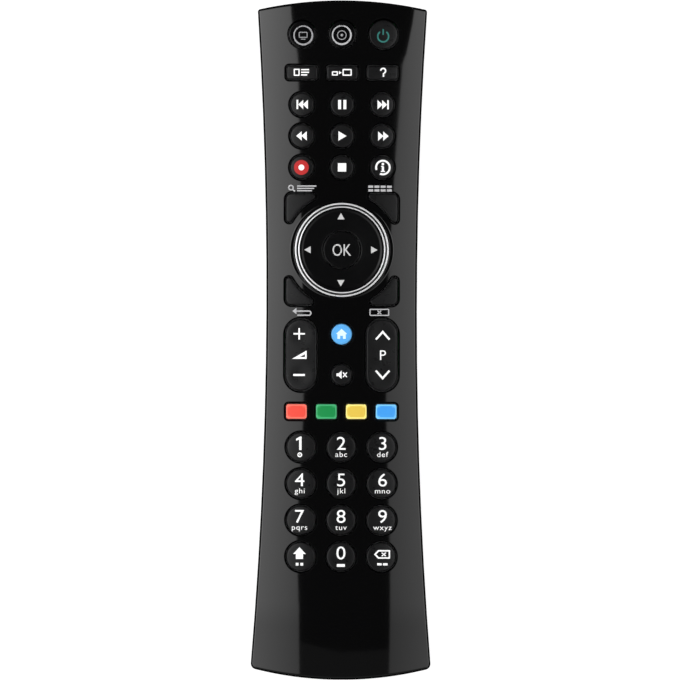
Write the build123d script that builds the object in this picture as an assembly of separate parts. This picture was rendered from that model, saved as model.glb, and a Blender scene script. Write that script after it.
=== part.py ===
from build123d import *
import math
import os

# A handheld remote control lying on its back: +Z up through the keys, +Y towards the infrared end.
# All sizes are in millimetres.

# Casing outline
LENGTH = 220.0
WAIST_HALF = 24.36
WAIST_Y = 12.4
SIDE_R = 1452.0
TOP_END_R = 124.0
BOTTOM_END_R = 115.0
TOP_CORNER_R = 0.9
BOTTOM_CORNER_R = 2.0

# Width and length of blocks that are cut down to the casing
BLOCK_W = 80.0
BLOCK_L = 242.0

# Casing section
HEIGHT = 22.0
PART_Z = 11.0
CROWN_R = 85.0
WALL = 1.8
SIDE_DRAFT = 3.0
REAR_DRAFT = 9.0
FACE_EDGE = 0.5
REAR_EDGE_R = 4.0

# Where the face starts to fall towards each end, and the radius it falls on
TOP_FALL_Y = 90.0
BOTTOM_FALL_Y = -85.0
FALL_R = 200.0

# Underside: a flat battery hump, then a step up to a slimmer grip
HUMP_END_Y = 8.0
STEP_END_Y = 42.0
STEP_RISE = 4.0

# Key fits, and how many sides stand for a circle on what repeats or turns
KEY_GAP = 0.4
KEY_BASE_Z = 17.0
KEY_SIDES = 24
RING_SIDES = 48

# Key layout
COLUMN = 13.0
MODE_Y = 98.8
WIDE_ROW_Y = 86.7
TRANSPORT_Y = 76.1
TRANSPORT_PITCH = 10.15
NAV_Y = 29.15
HOME_Y = 1.9
MUTE_Y = -11.2
ROCKER_X = 13.1
ROCKER_Y = -4.8
COLOUR_Y = -23.1
COLOUR_PITCH = 9.66
DIGIT_Y = -34.6
DIGIT_PITCH = 11.8

# Key sizes
MODE_R = 4.35
POWER_R = 4.6
TRANSPORT_R = 3.7
DIGIT_R = 4.6
HOME_R = 3.35
MUTE_R = 3.25
WIDE_KEY = (9.9, 4.8)
COLOUR_KEY = (6.7, 4.8)
SMALL_CORNER = 0.5
ROCKER_SIZE = (9.8, 22.9)
ROCKER_GAP = 0.5
ROCKER_BASE_Z = 17.5
ROCKER_PROUD = 0.8
ROCKER_DISH_R = 16.0
ROCKER_DISH_DEPTH = 0.35
CORNER_X = 18.05
CORNER_TOP = 18.2
CORNER_BOTTOM = 17.75
CORNER_ARC_R = 18.75
CORNER_OUTER = 1.2
CORNER_TIP_R = 1.0

# Navigation pad
NAV_TOP_Z = 22.1
COLLAR_R = 15.65
COLLAR_FOOT_R = 16.7
COLLAR_FOOT_Z = 20.0
COLLAR_LOW_Z = 19.0
TRIM_FOOT_Z = 20.1
TRIM_R = 15.4
TRIM_BORE_R = 14.5
RIM_R = 14.1
RIM_BORE_R = 13.45
PAD_FLAT_R = 12.7
PAD_DISH = 0.45
PAD_BASE_Z = 19.5
TRIM_PROUD = 0.35
RIM_DEEP = 0.9
OK_R = 5.95
OK_GAP = 0.35
PUSHER_X = 10.2
PUSHER_W = 2.6
ACTUATOR_RING_T = 1.2

# Board, mat and cells
BOARD_T = 1.2
MAT_T = 0.7
DOME_W = 4.2
DOME_TAPER = 20.0
CORNER_DOME = (15.2, 15.0)
ROCKER_DOME = 7.2
BOARD_LENGTH = 201.0
BOARD_Y = 2.0
CELL_R = 5.25
CELL_L = 43.7
CELL_NUB = (1.9, 0.8)
CELL_X = 6.0
CELL_Z = 7.5
CELL_Y = -54.0
BAY_MARGIN = 3.8
PLATE_T = 0.4
PLATE_W = 8.5
PLATE_H = 9.0
PLATE_Z = CELL_Z + 0.5
LEAF_T = 0.3
LEAF_W = 5.0

# Battery door and the tray behind it
DOOR_HALF = 18.0
DOOR_TOP_Y = -28.0
DOOR_LIP_Z = 7.0
DOOR_GAP = 0.3
TRAY_HALF = 20.0
TRAY_TOP_Z = 14.0
TRAY_WALL = 1.0
SUPPORT_Y = (38.0, 92.0)
SLOT_H = 1.7
RAIL_REACH = 1.3
TONGUE = (3.2, 9.0, 1.0)
TONGUE_Y = (-38.0, -60.0, -82.0)
TONGUE_FOOT = (2.4, 9.0, 0.6)
DOOR_GRIPS = 7
GRIP_PITCH = 2.2
GRIP = (15.0, 1.0, 1.2)
GRIP_NARROWS = 1.4

# Infrared end
LED_Y = 103.4
LED_SIDES = 16
LED_BODY = (2.5, 2.4)
LED_NOSE = (2.3, 1.4)
LEAD = (0.5, 2.4, 0.5)
LEAD_X = 1.27
WINDOW_HALF = 13.0
WINDOW_TOP_Z = 17.2


def plan(inset=0.0):
    """Outline of the casing at its parting line, drawn in by inset."""
    shape = Rectangle(BLOCK_W, BLOCK_L)
    shape = shape & Pos(0, LENGTH / 2 - TOP_END_R) * Circle(TOP_END_R - inset)
    shape = shape & Pos(0, BOTTOM_END_R - LENGTH / 2) * Circle(BOTTOM_END_R - inset)
    for side in (-1, 1):
        centre = Pos(side * (WAIST_HALF + SIDE_R), WAIST_Y)
        shape = shape - centre * Circle(SIDE_R + inset)
    return shape


def frustum(x, y, radius, start, end, change):
    """Cone about (x, y) with this radius at height start, changing by change on the way to end."""
    low = radius if start < end else radius + change
    high = radius + change if start < end else radius
    align = (Align.CENTER, Align.CENTER, Align.MIN)
    return Pos(x, y, min(start, end)) * Cone(low, high, abs(end - start), align=align)


def hull(inset, start, end, lean):
    """Block on the casing's outline at height start, whose walls lean in by lean degrees up to end."""
    draw = abs(end - start) * math.tan(math.radians(lean))
    block = Pos(0, 0, (start + end) / 2) * Box(BLOCK_W, BLOCK_L, abs(end - start))
    block = block & frustum(0, LENGTH / 2 - TOP_END_R, TOP_END_R - inset, start, end, -draw)
    block = block & frustum(0, BOTTOM_END_R - LENGTH / 2, BOTTOM_END_R - inset, start, end, -draw)
    for side in (-1, 1):
        x = side * (WAIST_HALF + SIDE_R)
        block = block - frustum(x, WAIST_Y, SIDE_R + inset, start, end, draw)
    return block


def crown(rise=0.0):
    """Everything under the face: a crowned bar that falls away at both ends, lifted by rise."""
    low = HEIGHT - 60
    disc = Pos(0, HEIGHT - CROWN_R) * Circle(CROWN_R + rise)
    section = disc & Pos(0, (low + HEIGHT + 10) / 2) * Rectangle(90, HEIGHT + 10 - low)
    start = Plane(origin=(0, BOTTOM_FALL_Y, 0), x_dir=(-1, 0, 0), z_dir=(0, 1, 0)) * section
    finish = Plane(origin=(0, TOP_FALL_Y, 0), x_dir=(1, 0, 0), z_dir=(0, -1, 0)) * section
    bar = extrude(start, TOP_FALL_Y - BOTTOM_FALL_Y, dir=(0, 1, 0))
    bar = bar + revolve(finish, Axis((0, TOP_FALL_Y, HEIGHT - FALL_R), (-1, 0, 0)), 10)
    return bar + revolve(start, Axis((0, BOTTOM_FALL_Y, HEIGHT - FALL_R), (1, 0, 0)), 9)


def corners(block, end):
    """Upright corner edges at one end of the casing, both sides."""
    found = []
    for edge in block.edges():
        first, last = edge @ 0, edge @ 1
        upright = abs(first.Z - last.Z) > 0.5 and abs(first.X) > WAIST_HALF
        if upright and min(first.Y * end, last.Y * end) > LENGTH * 0.45:
            found.append(edge)
    return found


def round_corners(block):
    return fillet(corners(fillet(corners(block, 1), TOP_CORNER_R), -1), BOTTOM_CORNER_R)


def rim_of(faces):
    """Outer edges of a patch of faces: those that only one of them has."""
    edges = [edge for face in faces for edge in face.edges()]
    return [edge for edge in edges if sum(edge.is_same(other) for other in edges) == 1]


def upper_form(inset=0.0):
    """Solid under the face and above the parting line."""
    return hull(inset, PART_Z, PART_Z + 16, SIDE_DRAFT) & crown(-inset)


def upper_shell():
    """Upper half with rounded corners and a bevelled rim to its face, hollowed to its wall."""
    outer = round_corners(upper_form())
    face = outer.faces().filter_by(lambda f: f.normal_at().Z > 0.8)
    return chamfer(rim_of(face), FACE_EDGE) - upper_form(WALL)


def rear_profile(lift=0.0):
    """Side view of the rear half: flat hump, a step on two arcs, then a slim end."""
    run = STEP_END_Y - HUMP_END_Y
    middle = ((HUMP_END_Y + STEP_END_Y) / 2, STEP_RISE / 2 + lift)
    radius = (run**2 + STEP_RISE**2) / (4 * STEP_RISE)
    far = LENGTH * 0.6
    with BuildSketch(Plane.YZ) as profile:
        with BuildLine():
            Polyline(
                (HUMP_END_Y, lift),
                (-far, lift),
                (-far, PART_Z),
                (far, PART_Z),
                (far, STEP_RISE + lift),
                (STEP_END_Y, STEP_RISE + lift),
            )
            RadiusArc((STEP_END_Y, STEP_RISE + lift), middle, -radius)
            RadiusArc(middle, (HUMP_END_Y, lift), radius)
        make_face()
    return profile.sketch


def rear_form(inset=0.0):
    """Solid between the underside and the parting line."""
    return hull(inset, PART_Z, -1, REAR_DRAFT) & extrude(rear_profile(inset), 40, both=True)


def rear_shell():
    """Lower half, rounded along the bottom and at its corners, hollowed to its wall."""
    outer = rear_form()
    under = outer.faces().filter_by(lambda f: f.normal_at().Z < -0.7)
    outer = round_corners(fillet(rim_of(under), REAR_EDGE_R))
    return outer - rear_form(WALL)


def corner_key(side, top):
    """Corner key beside the pad, placed from the pad's centre, on the side and end asked for."""
    reach = CORNER_TOP if top > 0 else CORNER_BOTTOM
    block = Pos(side * CORNER_X / 2, top * reach / 2) * Rectangle(CORNER_X, reach)
    shape = block - Circle(CORNER_ARC_R)
    far = shape.vertices().sort_by(lambda v: abs(v.X) + abs(v.Y))[-1]
    shape = chamfer(far, CORNER_OUTER)
    tips = shape.vertices().filter_by(lambda v: abs(math.hypot(v.X, v.Y) - CORNER_ARC_R) < 0.01)
    return fillet(tips, CORNER_TIP_R)


def plate(width, height, corner):
    """Rectangle with its corners taken off."""
    block = Rectangle(width, height)
    return chamfer(block.vertices(), corner)


def key_table():
    """Every push key: name, x, y, sketch, the hole's sketch and how far it stands proud."""
    keys = []

    def add(name, x, y, shape, hole, proud):
        keys.append((name, x, y, shape, hole, proud))

    def add_round(name, x, y, radius, proud):
        add(name, x, y, RegularPolygon(radius, KEY_SIDES), Circle(radius + KEY_GAP), proud)

    def add_wide(name, x, y, size, proud):
        hole = plate(size[0] + 2 * KEY_GAP, size[1] + 2 * KEY_GAP, SMALL_CORNER + KEY_GAP / 2)
        add(name, x, y, plate(size[0], size[1], SMALL_CORNER), hole, proud)

    add_round("mode_tv_key", -COLUMN, MODE_Y, MODE_R, 0.3)
    add_round("mode_recorder_key", 0, MODE_Y, MODE_R, 0.3)
    add_round("power_key", COLUMN + 0.3, MODE_Y, POWER_R, 0.5)
    for index, name in enumerate(("text_key", "zoom_key", "help_key")):
        add_wide(name, (index - 1) * COLUMN, WIDE_ROW_Y, WIDE_KEY, 0.5)
    transport = (
        ("skip_back_key", "pause_key", "skip_forward_key"),
        ("rewind_key", "play_key", "fast_forward_key"),
        ("record_key", "stop_key", "info_key"),
    )
    for row, names in enumerate(transport):
        for index, name in enumerate(names):
            y = TRANSPORT_Y - row * TRANSPORT_PITCH
            add_round(name, (index - 1) * COLUMN, y, TRANSPORT_R, 0.5)
    corners = (("search_key", -1, 1), ("guide_key", 1, 1), ("back_key", -1, -1), ("close_key", 1, -1))
    for name, side, top in corners:
        shape = corner_key(side, top)
        add(name, 0, NAV_Y, shape, offset(shape, KEY_GAP), 0.4)
    add_round("home_key", 0, HOME_Y, HOME_R, 0.5)
    add_round("mute_key", 0, MUTE_Y, MUTE_R, 0.5)
    for index, name in enumerate(("red_key", "green_key", "yellow_key", "blue_key")):
        add_wide(name, (index - 1.5) * COLOUR_PITCH, COLOUR_Y, COLOUR_KEY, 0.6)
    digits = (("1", "2", "3"), ("4", "5", "6"), ("7", "8", "9"), ("shift", "0", "delete"))
    for row, names in enumerate(digits):
        for index, name in enumerate(names):
            label = "digit_" + name + "_key" if name.isdigit() else name + "_key"
            add_round(label, (index - 1) * COLUMN, DIGIT_Y - row * DIGIT_PITCH, DIGIT_R, 0.6)
    return keys


def face_plane(x, y, proud):
    """Plane square to the face at (x, y), this far above it."""
    run = max(0.0, y - TOP_FALL_Y) - max(0.0, BOTTOM_FALL_Y - y)
    over = FALL_R - CROWN_R + math.sqrt(CROWN_R**2 - x**2)
    z = HEIGHT - FALL_R + math.sqrt(over**2 - run**2)
    return Plane(origin=(x, y, z + proud), z_dir=(x / CROWN_R, run / FALL_R, 1))


def push_key(x, y, shape, proud):
    """Key that fills its hole: a round one is flat on top and square to the face, any other is crowned."""
    bar = extrude(Pos(x, y, KEY_BASE_Z) * shape, HEIGHT)
    if len(shape.edges()) < KEY_SIDES:
        return bar & crown(proud)
    under = Box(20, 20, HEIGHT, align=(Align.CENTER, Align.CENTER, Align.MAX))
    return bar & face_plane(x, y, proud) * under


def rocker(side):
    """Long key that tips at either end, its top square to the face and hollowed for a thumb at each end."""
    x = side * ROCKER_X
    outline = SlotOverall(ROCKER_SIZE[1], ROCKER_SIZE[0], rotation=90)
    bar = extrude(Pos(x, ROCKER_Y, ROCKER_BASE_Z) * outline, HEIGHT)
    half = math.sqrt(2 * ROCKER_DISH_R * ROCKER_DISH_DEPTH)
    middle = (ROCKER_SIZE[1] - ROCKER_SIZE[0]) / 2
    far = ROCKER_SIZE[1]
    with BuildSketch(Plane.YZ) as profile:
        with BuildLine():
            Line((-far, 0), (-middle - half, 0))
            RadiusArc((-middle - half, 0), (-middle + half, 0), -ROCKER_DISH_R)
            Line((-middle + half, 0), (middle - half, 0))
            RadiusArc((middle - half, 0), (middle + half, 0), -ROCKER_DISH_R)
            Polyline((middle + half, 0), (far, 0), (far, -far), (-far, -far), (-far, 0))
        make_face()
    under = extrude(profile.sketch, ROCKER_SIZE[0], both=True)
    tilt = side * math.degrees(math.asin(ROCKER_X / CROWN_R))
    seat = Location(face_plane(x, ROCKER_Y, ROCKER_PROUD).origin)
    return bar & seat * Rot(0, tilt, 0) * under


def drum(*levels):
    """Many-sided turned block about the pad's centre, given its radius and height at each level."""
    rings = [Pos(0, NAV_Y, z) * RegularPolygon(radius, RING_SIDES) for radius, z in levels]
    return loft(rings, ruled=True)


def nav_trim_ring():
    """Bright ring pressed into the collar, its outer edge bevelled."""
    top = NAV_TOP_Z + TRIM_PROUD
    ring = drum((TRIM_R, TRIM_FOOT_Z), (TRIM_R, NAV_TOP_Z), (TRIM_R - TRIM_PROUD, top))
    return ring - drum((TRIM_BORE_R, TRIM_FOOT_Z - 1), (TRIM_BORE_R, top + 1))


def nav_pad_rim():
    """Bright ring set into the edge of the pad, its top leaning outwards."""
    foot = NAV_TOP_Z - RIM_DEEP
    ring = drum((RIM_R, foot), (RIM_R, NAV_TOP_Z), (RIM_BORE_R, NAV_TOP_Z + 0.15))
    return ring - drum((RIM_BORE_R, foot - 1), (RIM_BORE_R, NAV_TOP_Z + 1))


def nav_pad():
    """Four-way pad: a shallow dish with a step for its bright rim and a pusher at each side."""
    foot = NAV_TOP_Z - RIM_DEEP
    edge = NAV_TOP_Z - 0.1
    pad = drum((RIM_R, PAD_BASE_Z), (RIM_R, foot)) + drum((RIM_BORE_R, foot), (RIM_BORE_R, edge))
    pad = pad - drum((PAD_FLAT_R, NAV_TOP_Z - PAD_DISH), (RIM_BORE_R, edge))
    pad = pad - drum((OK_R + OK_GAP, PAD_BASE_Z - 1), (OK_R + OK_GAP, NAV_TOP_Z))
    for side in (-1, 1):
        post = Box(PUSHER_W, PUSHER_W, PAD_BASE_Z - KEY_BASE_Z, align=(Align.CENTER, Align.CENTER, Align.MIN))
        pad = pad + Pos(side * PUSHER_X, NAV_Y, KEY_BASE_Z) * post
    return pad


def nav_actuator():
    """Frame under the pad that lets it rock both ways: a ring, and a ridged arm towards each end."""
    inner = OK_R + OK_GAP + 0.35
    ring = RegularPolygon(inner + 2, 12) - RegularPolygon(inner, 12, major_radius=False)
    frame = extrude(Pos(0, NAV_Y, KEY_BASE_Z + 0.3) * ring, ACTUATOR_RING_T)
    half = PUSHER_W / 2
    with BuildSketch(Plane.XZ) as ridged:
        with BuildLine():
            Polyline((-half, KEY_BASE_Z), (half, KEY_BASE_Z), (half, PAD_BASE_Z - 0.3), (0, PAD_BASE_Z),
                     (-half, PAD_BASE_Z - 0.3), (-half, KEY_BASE_Z))
        make_face()
    start = inner + 0.8
    arm = extrude(ridged.sketch, PUSHER_X + half - start)
    for end in (-1, 1):
        frame = frame + Pos(0, NAV_Y + end * start, 0) * Rot(0, 0, 90 + 90 * end) * arm
    return frame


def ok_key():
    """Middle key of the pad, level with it and bevelled."""
    top = NAV_TOP_Z - PAD_DISH
    return drum((OK_R, KEY_BASE_Z), (OK_R, top - 0.3), (OK_R - 0.3, top))


def top_cover(keys):
    """Gloss face: a thin crowned shell with a hole for every key and a collar for the pad."""
    align = (Align.CENTER, Align.CENTER, Align.MIN)
    foot = Pos(0, NAV_Y, COLLAR_LOW_Z) * Cylinder(COLLAR_FOOT_R, COLLAR_FOOT_Z - COLLAR_LOW_Z, align=align)
    slope = COLLAR_R - COLLAR_FOOT_R
    collar = foot + frustum(0, NAV_Y, COLLAR_FOOT_R, COLLAR_FOOT_Z, NAV_TOP_Z, slope)
    cover = upper_shell() + collar
    holes = [extrude(Pos(x, y, PART_Z) * hole, HEIGHT) for name, x, y, shape, hole, proud in keys]
    for side in (-1, 1):
        opening = SlotOverall(ROCKER_SIZE[1] + 2 * ROCKER_GAP, ROCKER_SIZE[0] + 2 * ROCKER_GAP, rotation=90)
        holes.append(extrude(Pos(side * ROCKER_X, ROCKER_Y, PART_Z) * opening, HEIGHT))
    holes.append(Pos(0, NAV_Y, TRIM_FOOT_Z) * Cylinder(TRIM_R, HEIGHT, align=align))
    holes.append(Pos(0, NAV_Y, PART_Z) * Cylinder(TRIM_BORE_R, HEIGHT, align=align))
    return cover - holes - window_block(WINDOW_HALF, WINDOW_TOP_Z)


def window_block(half, top):
    """Block that marks out the infrared window in the end wall."""
    return Pos(0, LENGTH / 2, (PART_Z + top) / 2) * Box(2 * half, 12, top - PART_Z)


def ir_window():
    pane = (upper_form() - upper_form(WALL)) & window_block(WINDOW_HALF - 0.1, WINDOW_TOP_Z - 0.1)
    return pane.solids().sort_by(lambda s: s.volume)[-1]


def door_block(half, lip, start_y):
    """Block that marks out the battery door, from start_y past the bottom end."""
    length = LENGTH / 2 + start_y + 4
    return Pos(0, start_y - length / 2, lip / 2 - 1) * Box(2 * half, length, lip + 2)


def bay_ends():
    """The two faces that hold the cells between them, near end first."""
    half = (CELL_L + CELL_NUB[1]) / 2 + BAY_MARGIN
    return CELL_Y - half, CELL_Y + half


def wall(y, low, high, side=1):
    """Cross wall of the tray between two heights, standing on the side of y that is asked for."""
    block = Box(2 * TRAY_HALF, TRAY_WALL, high - low, align=(Align.CENTER, Align.CENTER, Align.MIN))
    return Pos(0, y + side * TRAY_WALL / 2, low) * block


def rear_cover():
    """Matt back: shell, the tray that holds the cells, and the rails that the door runs on."""
    cover = rear_shell() - door_block(DOOR_HALF + DOOR_GAP, DOOR_LIP_Z + DOOR_GAP, DOOR_TOP_Y + DOOR_GAP)
    bay_low, bay_high = bay_ends()
    tray_end = -LENGTH / 2 + 5
    middle = (bay_high + tray_end) / 2
    length = bay_high - tray_end
    ceiling = Pos(0, middle, TRAY_TOP_Z - TRAY_WALL / 2) * Box(2 * TRAY_HALF, length, TRAY_WALL)
    tray = ceiling + wall(bay_high, WALL - 0.5, TRAY_TOP_Z) + wall(tray_end, DOOR_LIP_Z + 1, TRAY_TOP_Z)
    tray = tray + wall(bay_low, WALL + 2, TRAY_TOP_Z, -1)
    for side in (-1, 1):
        x = side * (TRAY_HALF - TRAY_WALL / 2)
        height = TRAY_TOP_Z - WALL + 0.5
        tray = tray + Pos(x, middle, TRAY_TOP_Z - height / 2) * Box(TRAY_WALL, length, height)
    rib = Pos(0, CELL_Y, TRAY_TOP_Z - 1.5) * Box(1, CELL_L * 0.8, 3)
    for y in SUPPORT_Y:
        low = STEP_RISE + WALL - 1.2
        tray = tray + Pos(0, y, (low + TRAY_TOP_Z) / 2) * Box(2 * TRAY_HALF, TRAY_WALL, TRAY_TOP_Z - low)
    slots = Box(2 * (DOOR_HALF + RAIL_REACH), LENGTH, SLOT_H)
    slots = Pos(0, DOOR_TOP_Y - LENGTH / 2, WALL + SLOT_H / 2) * slots
    return cover + tray + rib - slots


def battery_door():
    """Slide-off door: the back's own skin, wrapped round the bottom end, with side tongues."""
    skin = rear_shell() & door_block(DOOR_HALF, DOOR_LIP_Z, DOOR_TOP_Y)
    skin = skin.solids().sort_by(lambda s: s.volume)[-1]
    reach = DOOR_HALF + RAIL_REACH - DOOR_GAP
    for side in (-1, 1):
        for y in TONGUE_Y:
            tongue = Pos(side * (reach - TONGUE[0] / 2), y, WALL + 0.9) * Box(*TONGUE)
            foot = Pos(side * (DOOR_HALF - TONGUE_FOOT[0] / 2), y, WALL + 0.2) * Box(*TONGUE_FOOT)
            skin = skin + tongue + foot
    for index in range(DOOR_GRIPS):
        width = GRIP[0] - index * GRIP_NARROWS
        groove = Pos(0, DOOR_TOP_Y - 6 - index * GRIP_PITCH, -0.2) * Box(width, GRIP[1], GRIP[2])
        skin = skin - groove
    return skin


def cell(side):
    """Slim round cell; the two lie side by side, nose to tail."""
    can = extrude(RegularPolygon(CELL_R, KEY_SIDES), CELL_L)
    can = can + Pos(0, 0, CELL_L) * extrude(RegularPolygon(CELL_NUB[0], KEY_SIDES // 2), CELL_NUB[1])
    shift = side * (CELL_L + CELL_NUB[1]) / 2
    return Pos(side * CELL_X, CELL_Y + shift, CELL_Z) * Rot(90 * side, 0, 0) * can


def contact_plates():
    """Sheet contacts against the ends of the bay: one for each cell at the top, one joining both below."""
    bay_low, bay_high = bay_ends()
    single = Box(PLATE_W, PLATE_T, PLATE_H)
    plates = [Pos(side * CELL_X, bay_high - PLATE_T / 2, PLATE_Z) * single for side in (-1, 1)]
    joining = Box(PLATE_W + 2 * CELL_X, PLATE_T, PLATE_H)
    plates.append(Pos(0, bay_low + PLATE_T / 2, PLATE_Z) * joining)
    return Compound(plates)


def contact_springs():
    """Bent leaves that reach from the plates to the cells."""
    bay_low, bay_high = bay_ends()
    half = (CELL_L + CELL_NUB[1]) / 2
    leaves = []
    for side in (-1, 1):
        for end in (-1, 1):
            base = (bay_high if end > 0 else bay_low) - end * PLATE_T
            tip = CELL_Y + end * half
            with BuildSketch(Plane.YZ) as strip:
                with BuildLine() as line:
                    Polyline((base - end * 0.15, 3.4), (tip + end * 0.15, 0.9), (tip + end * 0.15, -0.9),
                             (base - end * 1.2, -3.0))
                trace(line.line, LEAF_T)
            leaves.append(Pos(side * CELL_X, 0, CELL_Z) * extrude(strip.sketch, LEAF_W / 2, both=True))
    return Compound(leaves)


def circuit_board():
    """Board that follows the casing inside and lies on the tray."""
    outline = plan(WALL + 2.2) & Pos(0, BOARD_Y) * Rectangle(60, BOARD_LENGTH)
    return extrude(Pos(0, 0, TRAY_TOP_Z) * outline, BOARD_T)


def dome_spots(keys):
    """Where the mat has a dome, and how high each reaches."""
    spots = [(x, y, KEY_BASE_Z) for name, x, y, shape, hole, proud in keys if y != NAV_Y]
    for side in (-1, 1):
        for end in (-1, 1):
            spots.append((side * CORNER_DOME[0], NAV_Y + end * CORNER_DOME[1], KEY_BASE_Z))
            spots.append((side * ROCKER_X, ROCKER_Y + end * ROCKER_DOME, ROCKER_BASE_Z))
        spots.append((side * PUSHER_X, NAV_Y, KEY_BASE_Z))
        spots.append((0, NAV_Y + side * PUSHER_X, KEY_BASE_Z))
    return spots + [(0, NAV_Y, KEY_BASE_Z)]


def keypad_mat(keys):
    """Rubber sheet on the board with a dome under every key."""
    outline = plan(WALL + 4.4) & Pos(0, BOARD_Y) * Rectangle(60, BOARD_LENGTH - 3)
    low = TRAY_TOP_Z + BOARD_T
    mat = extrude(Pos(0, 0, low) * outline, MAT_T)
    domes = []
    for x, y, high in dome_spots(keys):
        dome = extrude(Rectangle(DOME_W, DOME_W), high - low - MAT_T, taper=DOME_TAPER)
        domes.append(Pos(x, y, low + MAT_T) * dome)
    return mat + domes


def infrared_led():
    """Clear diode past the end of the board, facing the window, with its two leads on the board."""
    align = (Align.CENTER, Align.CENTER, Align.MIN)
    body = extrude(RegularPolygon(LED_BODY[0], LED_SIDES), LED_BODY[1])
    nose = extrude(RegularPolygon(LED_NOSE[0], LED_SIDES), LED_NOSE[1], taper=30)
    led = body + Pos(0, 0, LED_BODY[1]) * nose
    led = Pos(0, LED_Y, TRAY_TOP_Z + BOARD_T / 2) * Rot(-90, 0, 0) * led
    for side in (-1, 1):
        lead = Box(*LEAD, align=(Align.CENTER, Align.MAX, Align.MIN))
        led = led + Pos(side * LEAD_X, LED_Y, TRAY_TOP_Z + BOARD_T) * lead
    return led


def board_parts():
    """Parts soldered under the board."""
    under = TRAY_TOP_Z
    small = [Pos(x, y, under - 0.3) * Box(1.6, 0.8, 0.6) for x in (-9, 9) for y in (70, 74, 78)]
    return {
        "controller_chip": Pos(0, 52, under - 0.9) * Box(10, 15, 1.8),
        "resonator": Pos(11, 46, under - 1.5) * Box(7, 2.6, 3),
        "capacitor": Pos(-10, 2.5, under - 3.1) * Rot(-90, 0, 0) * extrude(RegularPolygon(3.1, 20), 11),
        "chip_resistors": Compound(small),
    }


def write(name, shape):
    export_step(shape, os.path.join("parts", name + ".step"))


def main():
    os.makedirs("parts", exist_ok=True)
    keys = key_table()
    pieces = {name: push_key(x, y, shape, proud) for name, x, y, shape, hole, proud in keys}
    pieces.update({"volume_rocker": rocker(-1), "programme_rocker": rocker(1)})
    pieces.update({"nav_trim_ring": nav_trim_ring(), "nav_pad": nav_pad(), "nav_pad_rim": nav_pad_rim()})
    pieces.update({"nav_actuator": nav_actuator(), "ok_key": ok_key()})
    pieces.update({"top_cover": top_cover(keys), "ir_window": ir_window()})
    pieces.update({"rear_cover": rear_cover(), "battery_door": battery_door()})
    pieces.update({"battery_left": cell(-1), "battery_right": cell(1)})
    pieces.update({"contact_plates": contact_plates(), "contact_springs": contact_springs()})
    pieces.update({"circuit_board": circuit_board(), "keypad_mat": keypad_mat(keys)})
    pieces["infrared_led"] = infrared_led()
    pieces.update(board_parts())
    for name, shape in pieces.items():
        write(name, shape)


main()
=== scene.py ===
import math

import bmesh
import bpy
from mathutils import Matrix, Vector
from mathutils.geometry import delaunay_2d_cdt


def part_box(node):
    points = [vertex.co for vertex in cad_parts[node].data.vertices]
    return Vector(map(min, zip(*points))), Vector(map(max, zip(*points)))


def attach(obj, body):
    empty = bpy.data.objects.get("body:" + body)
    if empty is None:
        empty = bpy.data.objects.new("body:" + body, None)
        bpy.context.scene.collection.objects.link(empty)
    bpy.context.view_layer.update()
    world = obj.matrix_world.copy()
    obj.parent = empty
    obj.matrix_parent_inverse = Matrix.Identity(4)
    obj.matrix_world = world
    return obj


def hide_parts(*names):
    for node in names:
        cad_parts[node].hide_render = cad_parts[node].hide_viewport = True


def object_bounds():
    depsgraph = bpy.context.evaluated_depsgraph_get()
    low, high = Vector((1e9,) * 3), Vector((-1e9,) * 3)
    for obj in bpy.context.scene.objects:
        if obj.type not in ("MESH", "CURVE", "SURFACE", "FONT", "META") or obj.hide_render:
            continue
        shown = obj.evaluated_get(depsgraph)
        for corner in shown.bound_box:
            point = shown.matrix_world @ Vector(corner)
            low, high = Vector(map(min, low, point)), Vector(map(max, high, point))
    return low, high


# A handset lying on its back, +Z up through the keys, +Y towards the infrared end, in metres.
MM = 0.001

# Casing, its plan and its crown as the solids have them
LENGTH = 220 * MM
WAIST_HALF = 24.36 * MM
WAIST_Y = 12.4 * MM
SIDE_R = 1452 * MM
TOP_END_R = 124 * MM
BOTTOM_END_R = 115 * MM
TOP_CORNER_R = 0.9 * MM
BOTTOM_CORNER_R = 2.0 * MM
HEIGHT = 22 * MM
PART_Z = 11 * MM
CROWN_R = 85 * MM
FALL_R = 200 * MM
TOP_FALL_Y = 90 * MM
BOTTOM_FALL_Y = -85 * MM
SIDE_LEAN = math.tan(math.radians(3))
RIM_R = 0.5 * MM
BOTTOM_RIM_R = 0.8 * MM
SHELL = 1.8 * MM
FACE_T = 2.4 * MM

# Keys
KEY_GAP = 0.4 * MM
ROCKER_GAP = 0.5 * MM
KEY_EDGE = 0.4 * MM
HOLE_EDGE = 0.42 * MM
HOLE_DROP = 0.52 * MM
HOLE_EASE = 0.06 * MM
MODE_HOLE_EDGE = 0.14 * MM
MODE_TILT = 0.45
KEY_DOME = 0.12 * MM
KEY_SUNK = 0.03 * MM
WIDE_TRIM = 0.55 * MM
WIDE_RISE = 0.4 * MM
COLOUR_RISE = 0.5 * MM
WIDE_DOME = 0.1 * MM
WIDE_KEY_R = 0.85 * MM
WIDE_HOLE_R = 1.2 * MM
CORNER_X = 18.05 * MM
CORNER_TOP = 18.2 * MM
CORNER_BOTTOM = 17.75 * MM
CORNER_ARC_R = 18.75 * MM
CORNER_OUTER_R = 1.9 * MM
CORNER_TIP_R = 1.0 * MM
CORNER_RISE = 0.3 * MM
CORNER_REACH = 7 * MM
ROCKER_DISH = 0.2 * MM
ROCKER_DISH_R = 4.3 * MM
ROCKER_PROUD = 0.72 * MM

# Collar round the ring pad
COLLAR_R = 15.65 * MM
COLLAR_SLOPE = 2.0
COLLAR_TOP = 22.1 * MM
COLLAR_BLEND = 0.3 * MM
TRIM_SEAT = 15.17 * MM
LEDGE_R = 14.5 * MM
LEDGE_Z = 20.1 * MM

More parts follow.
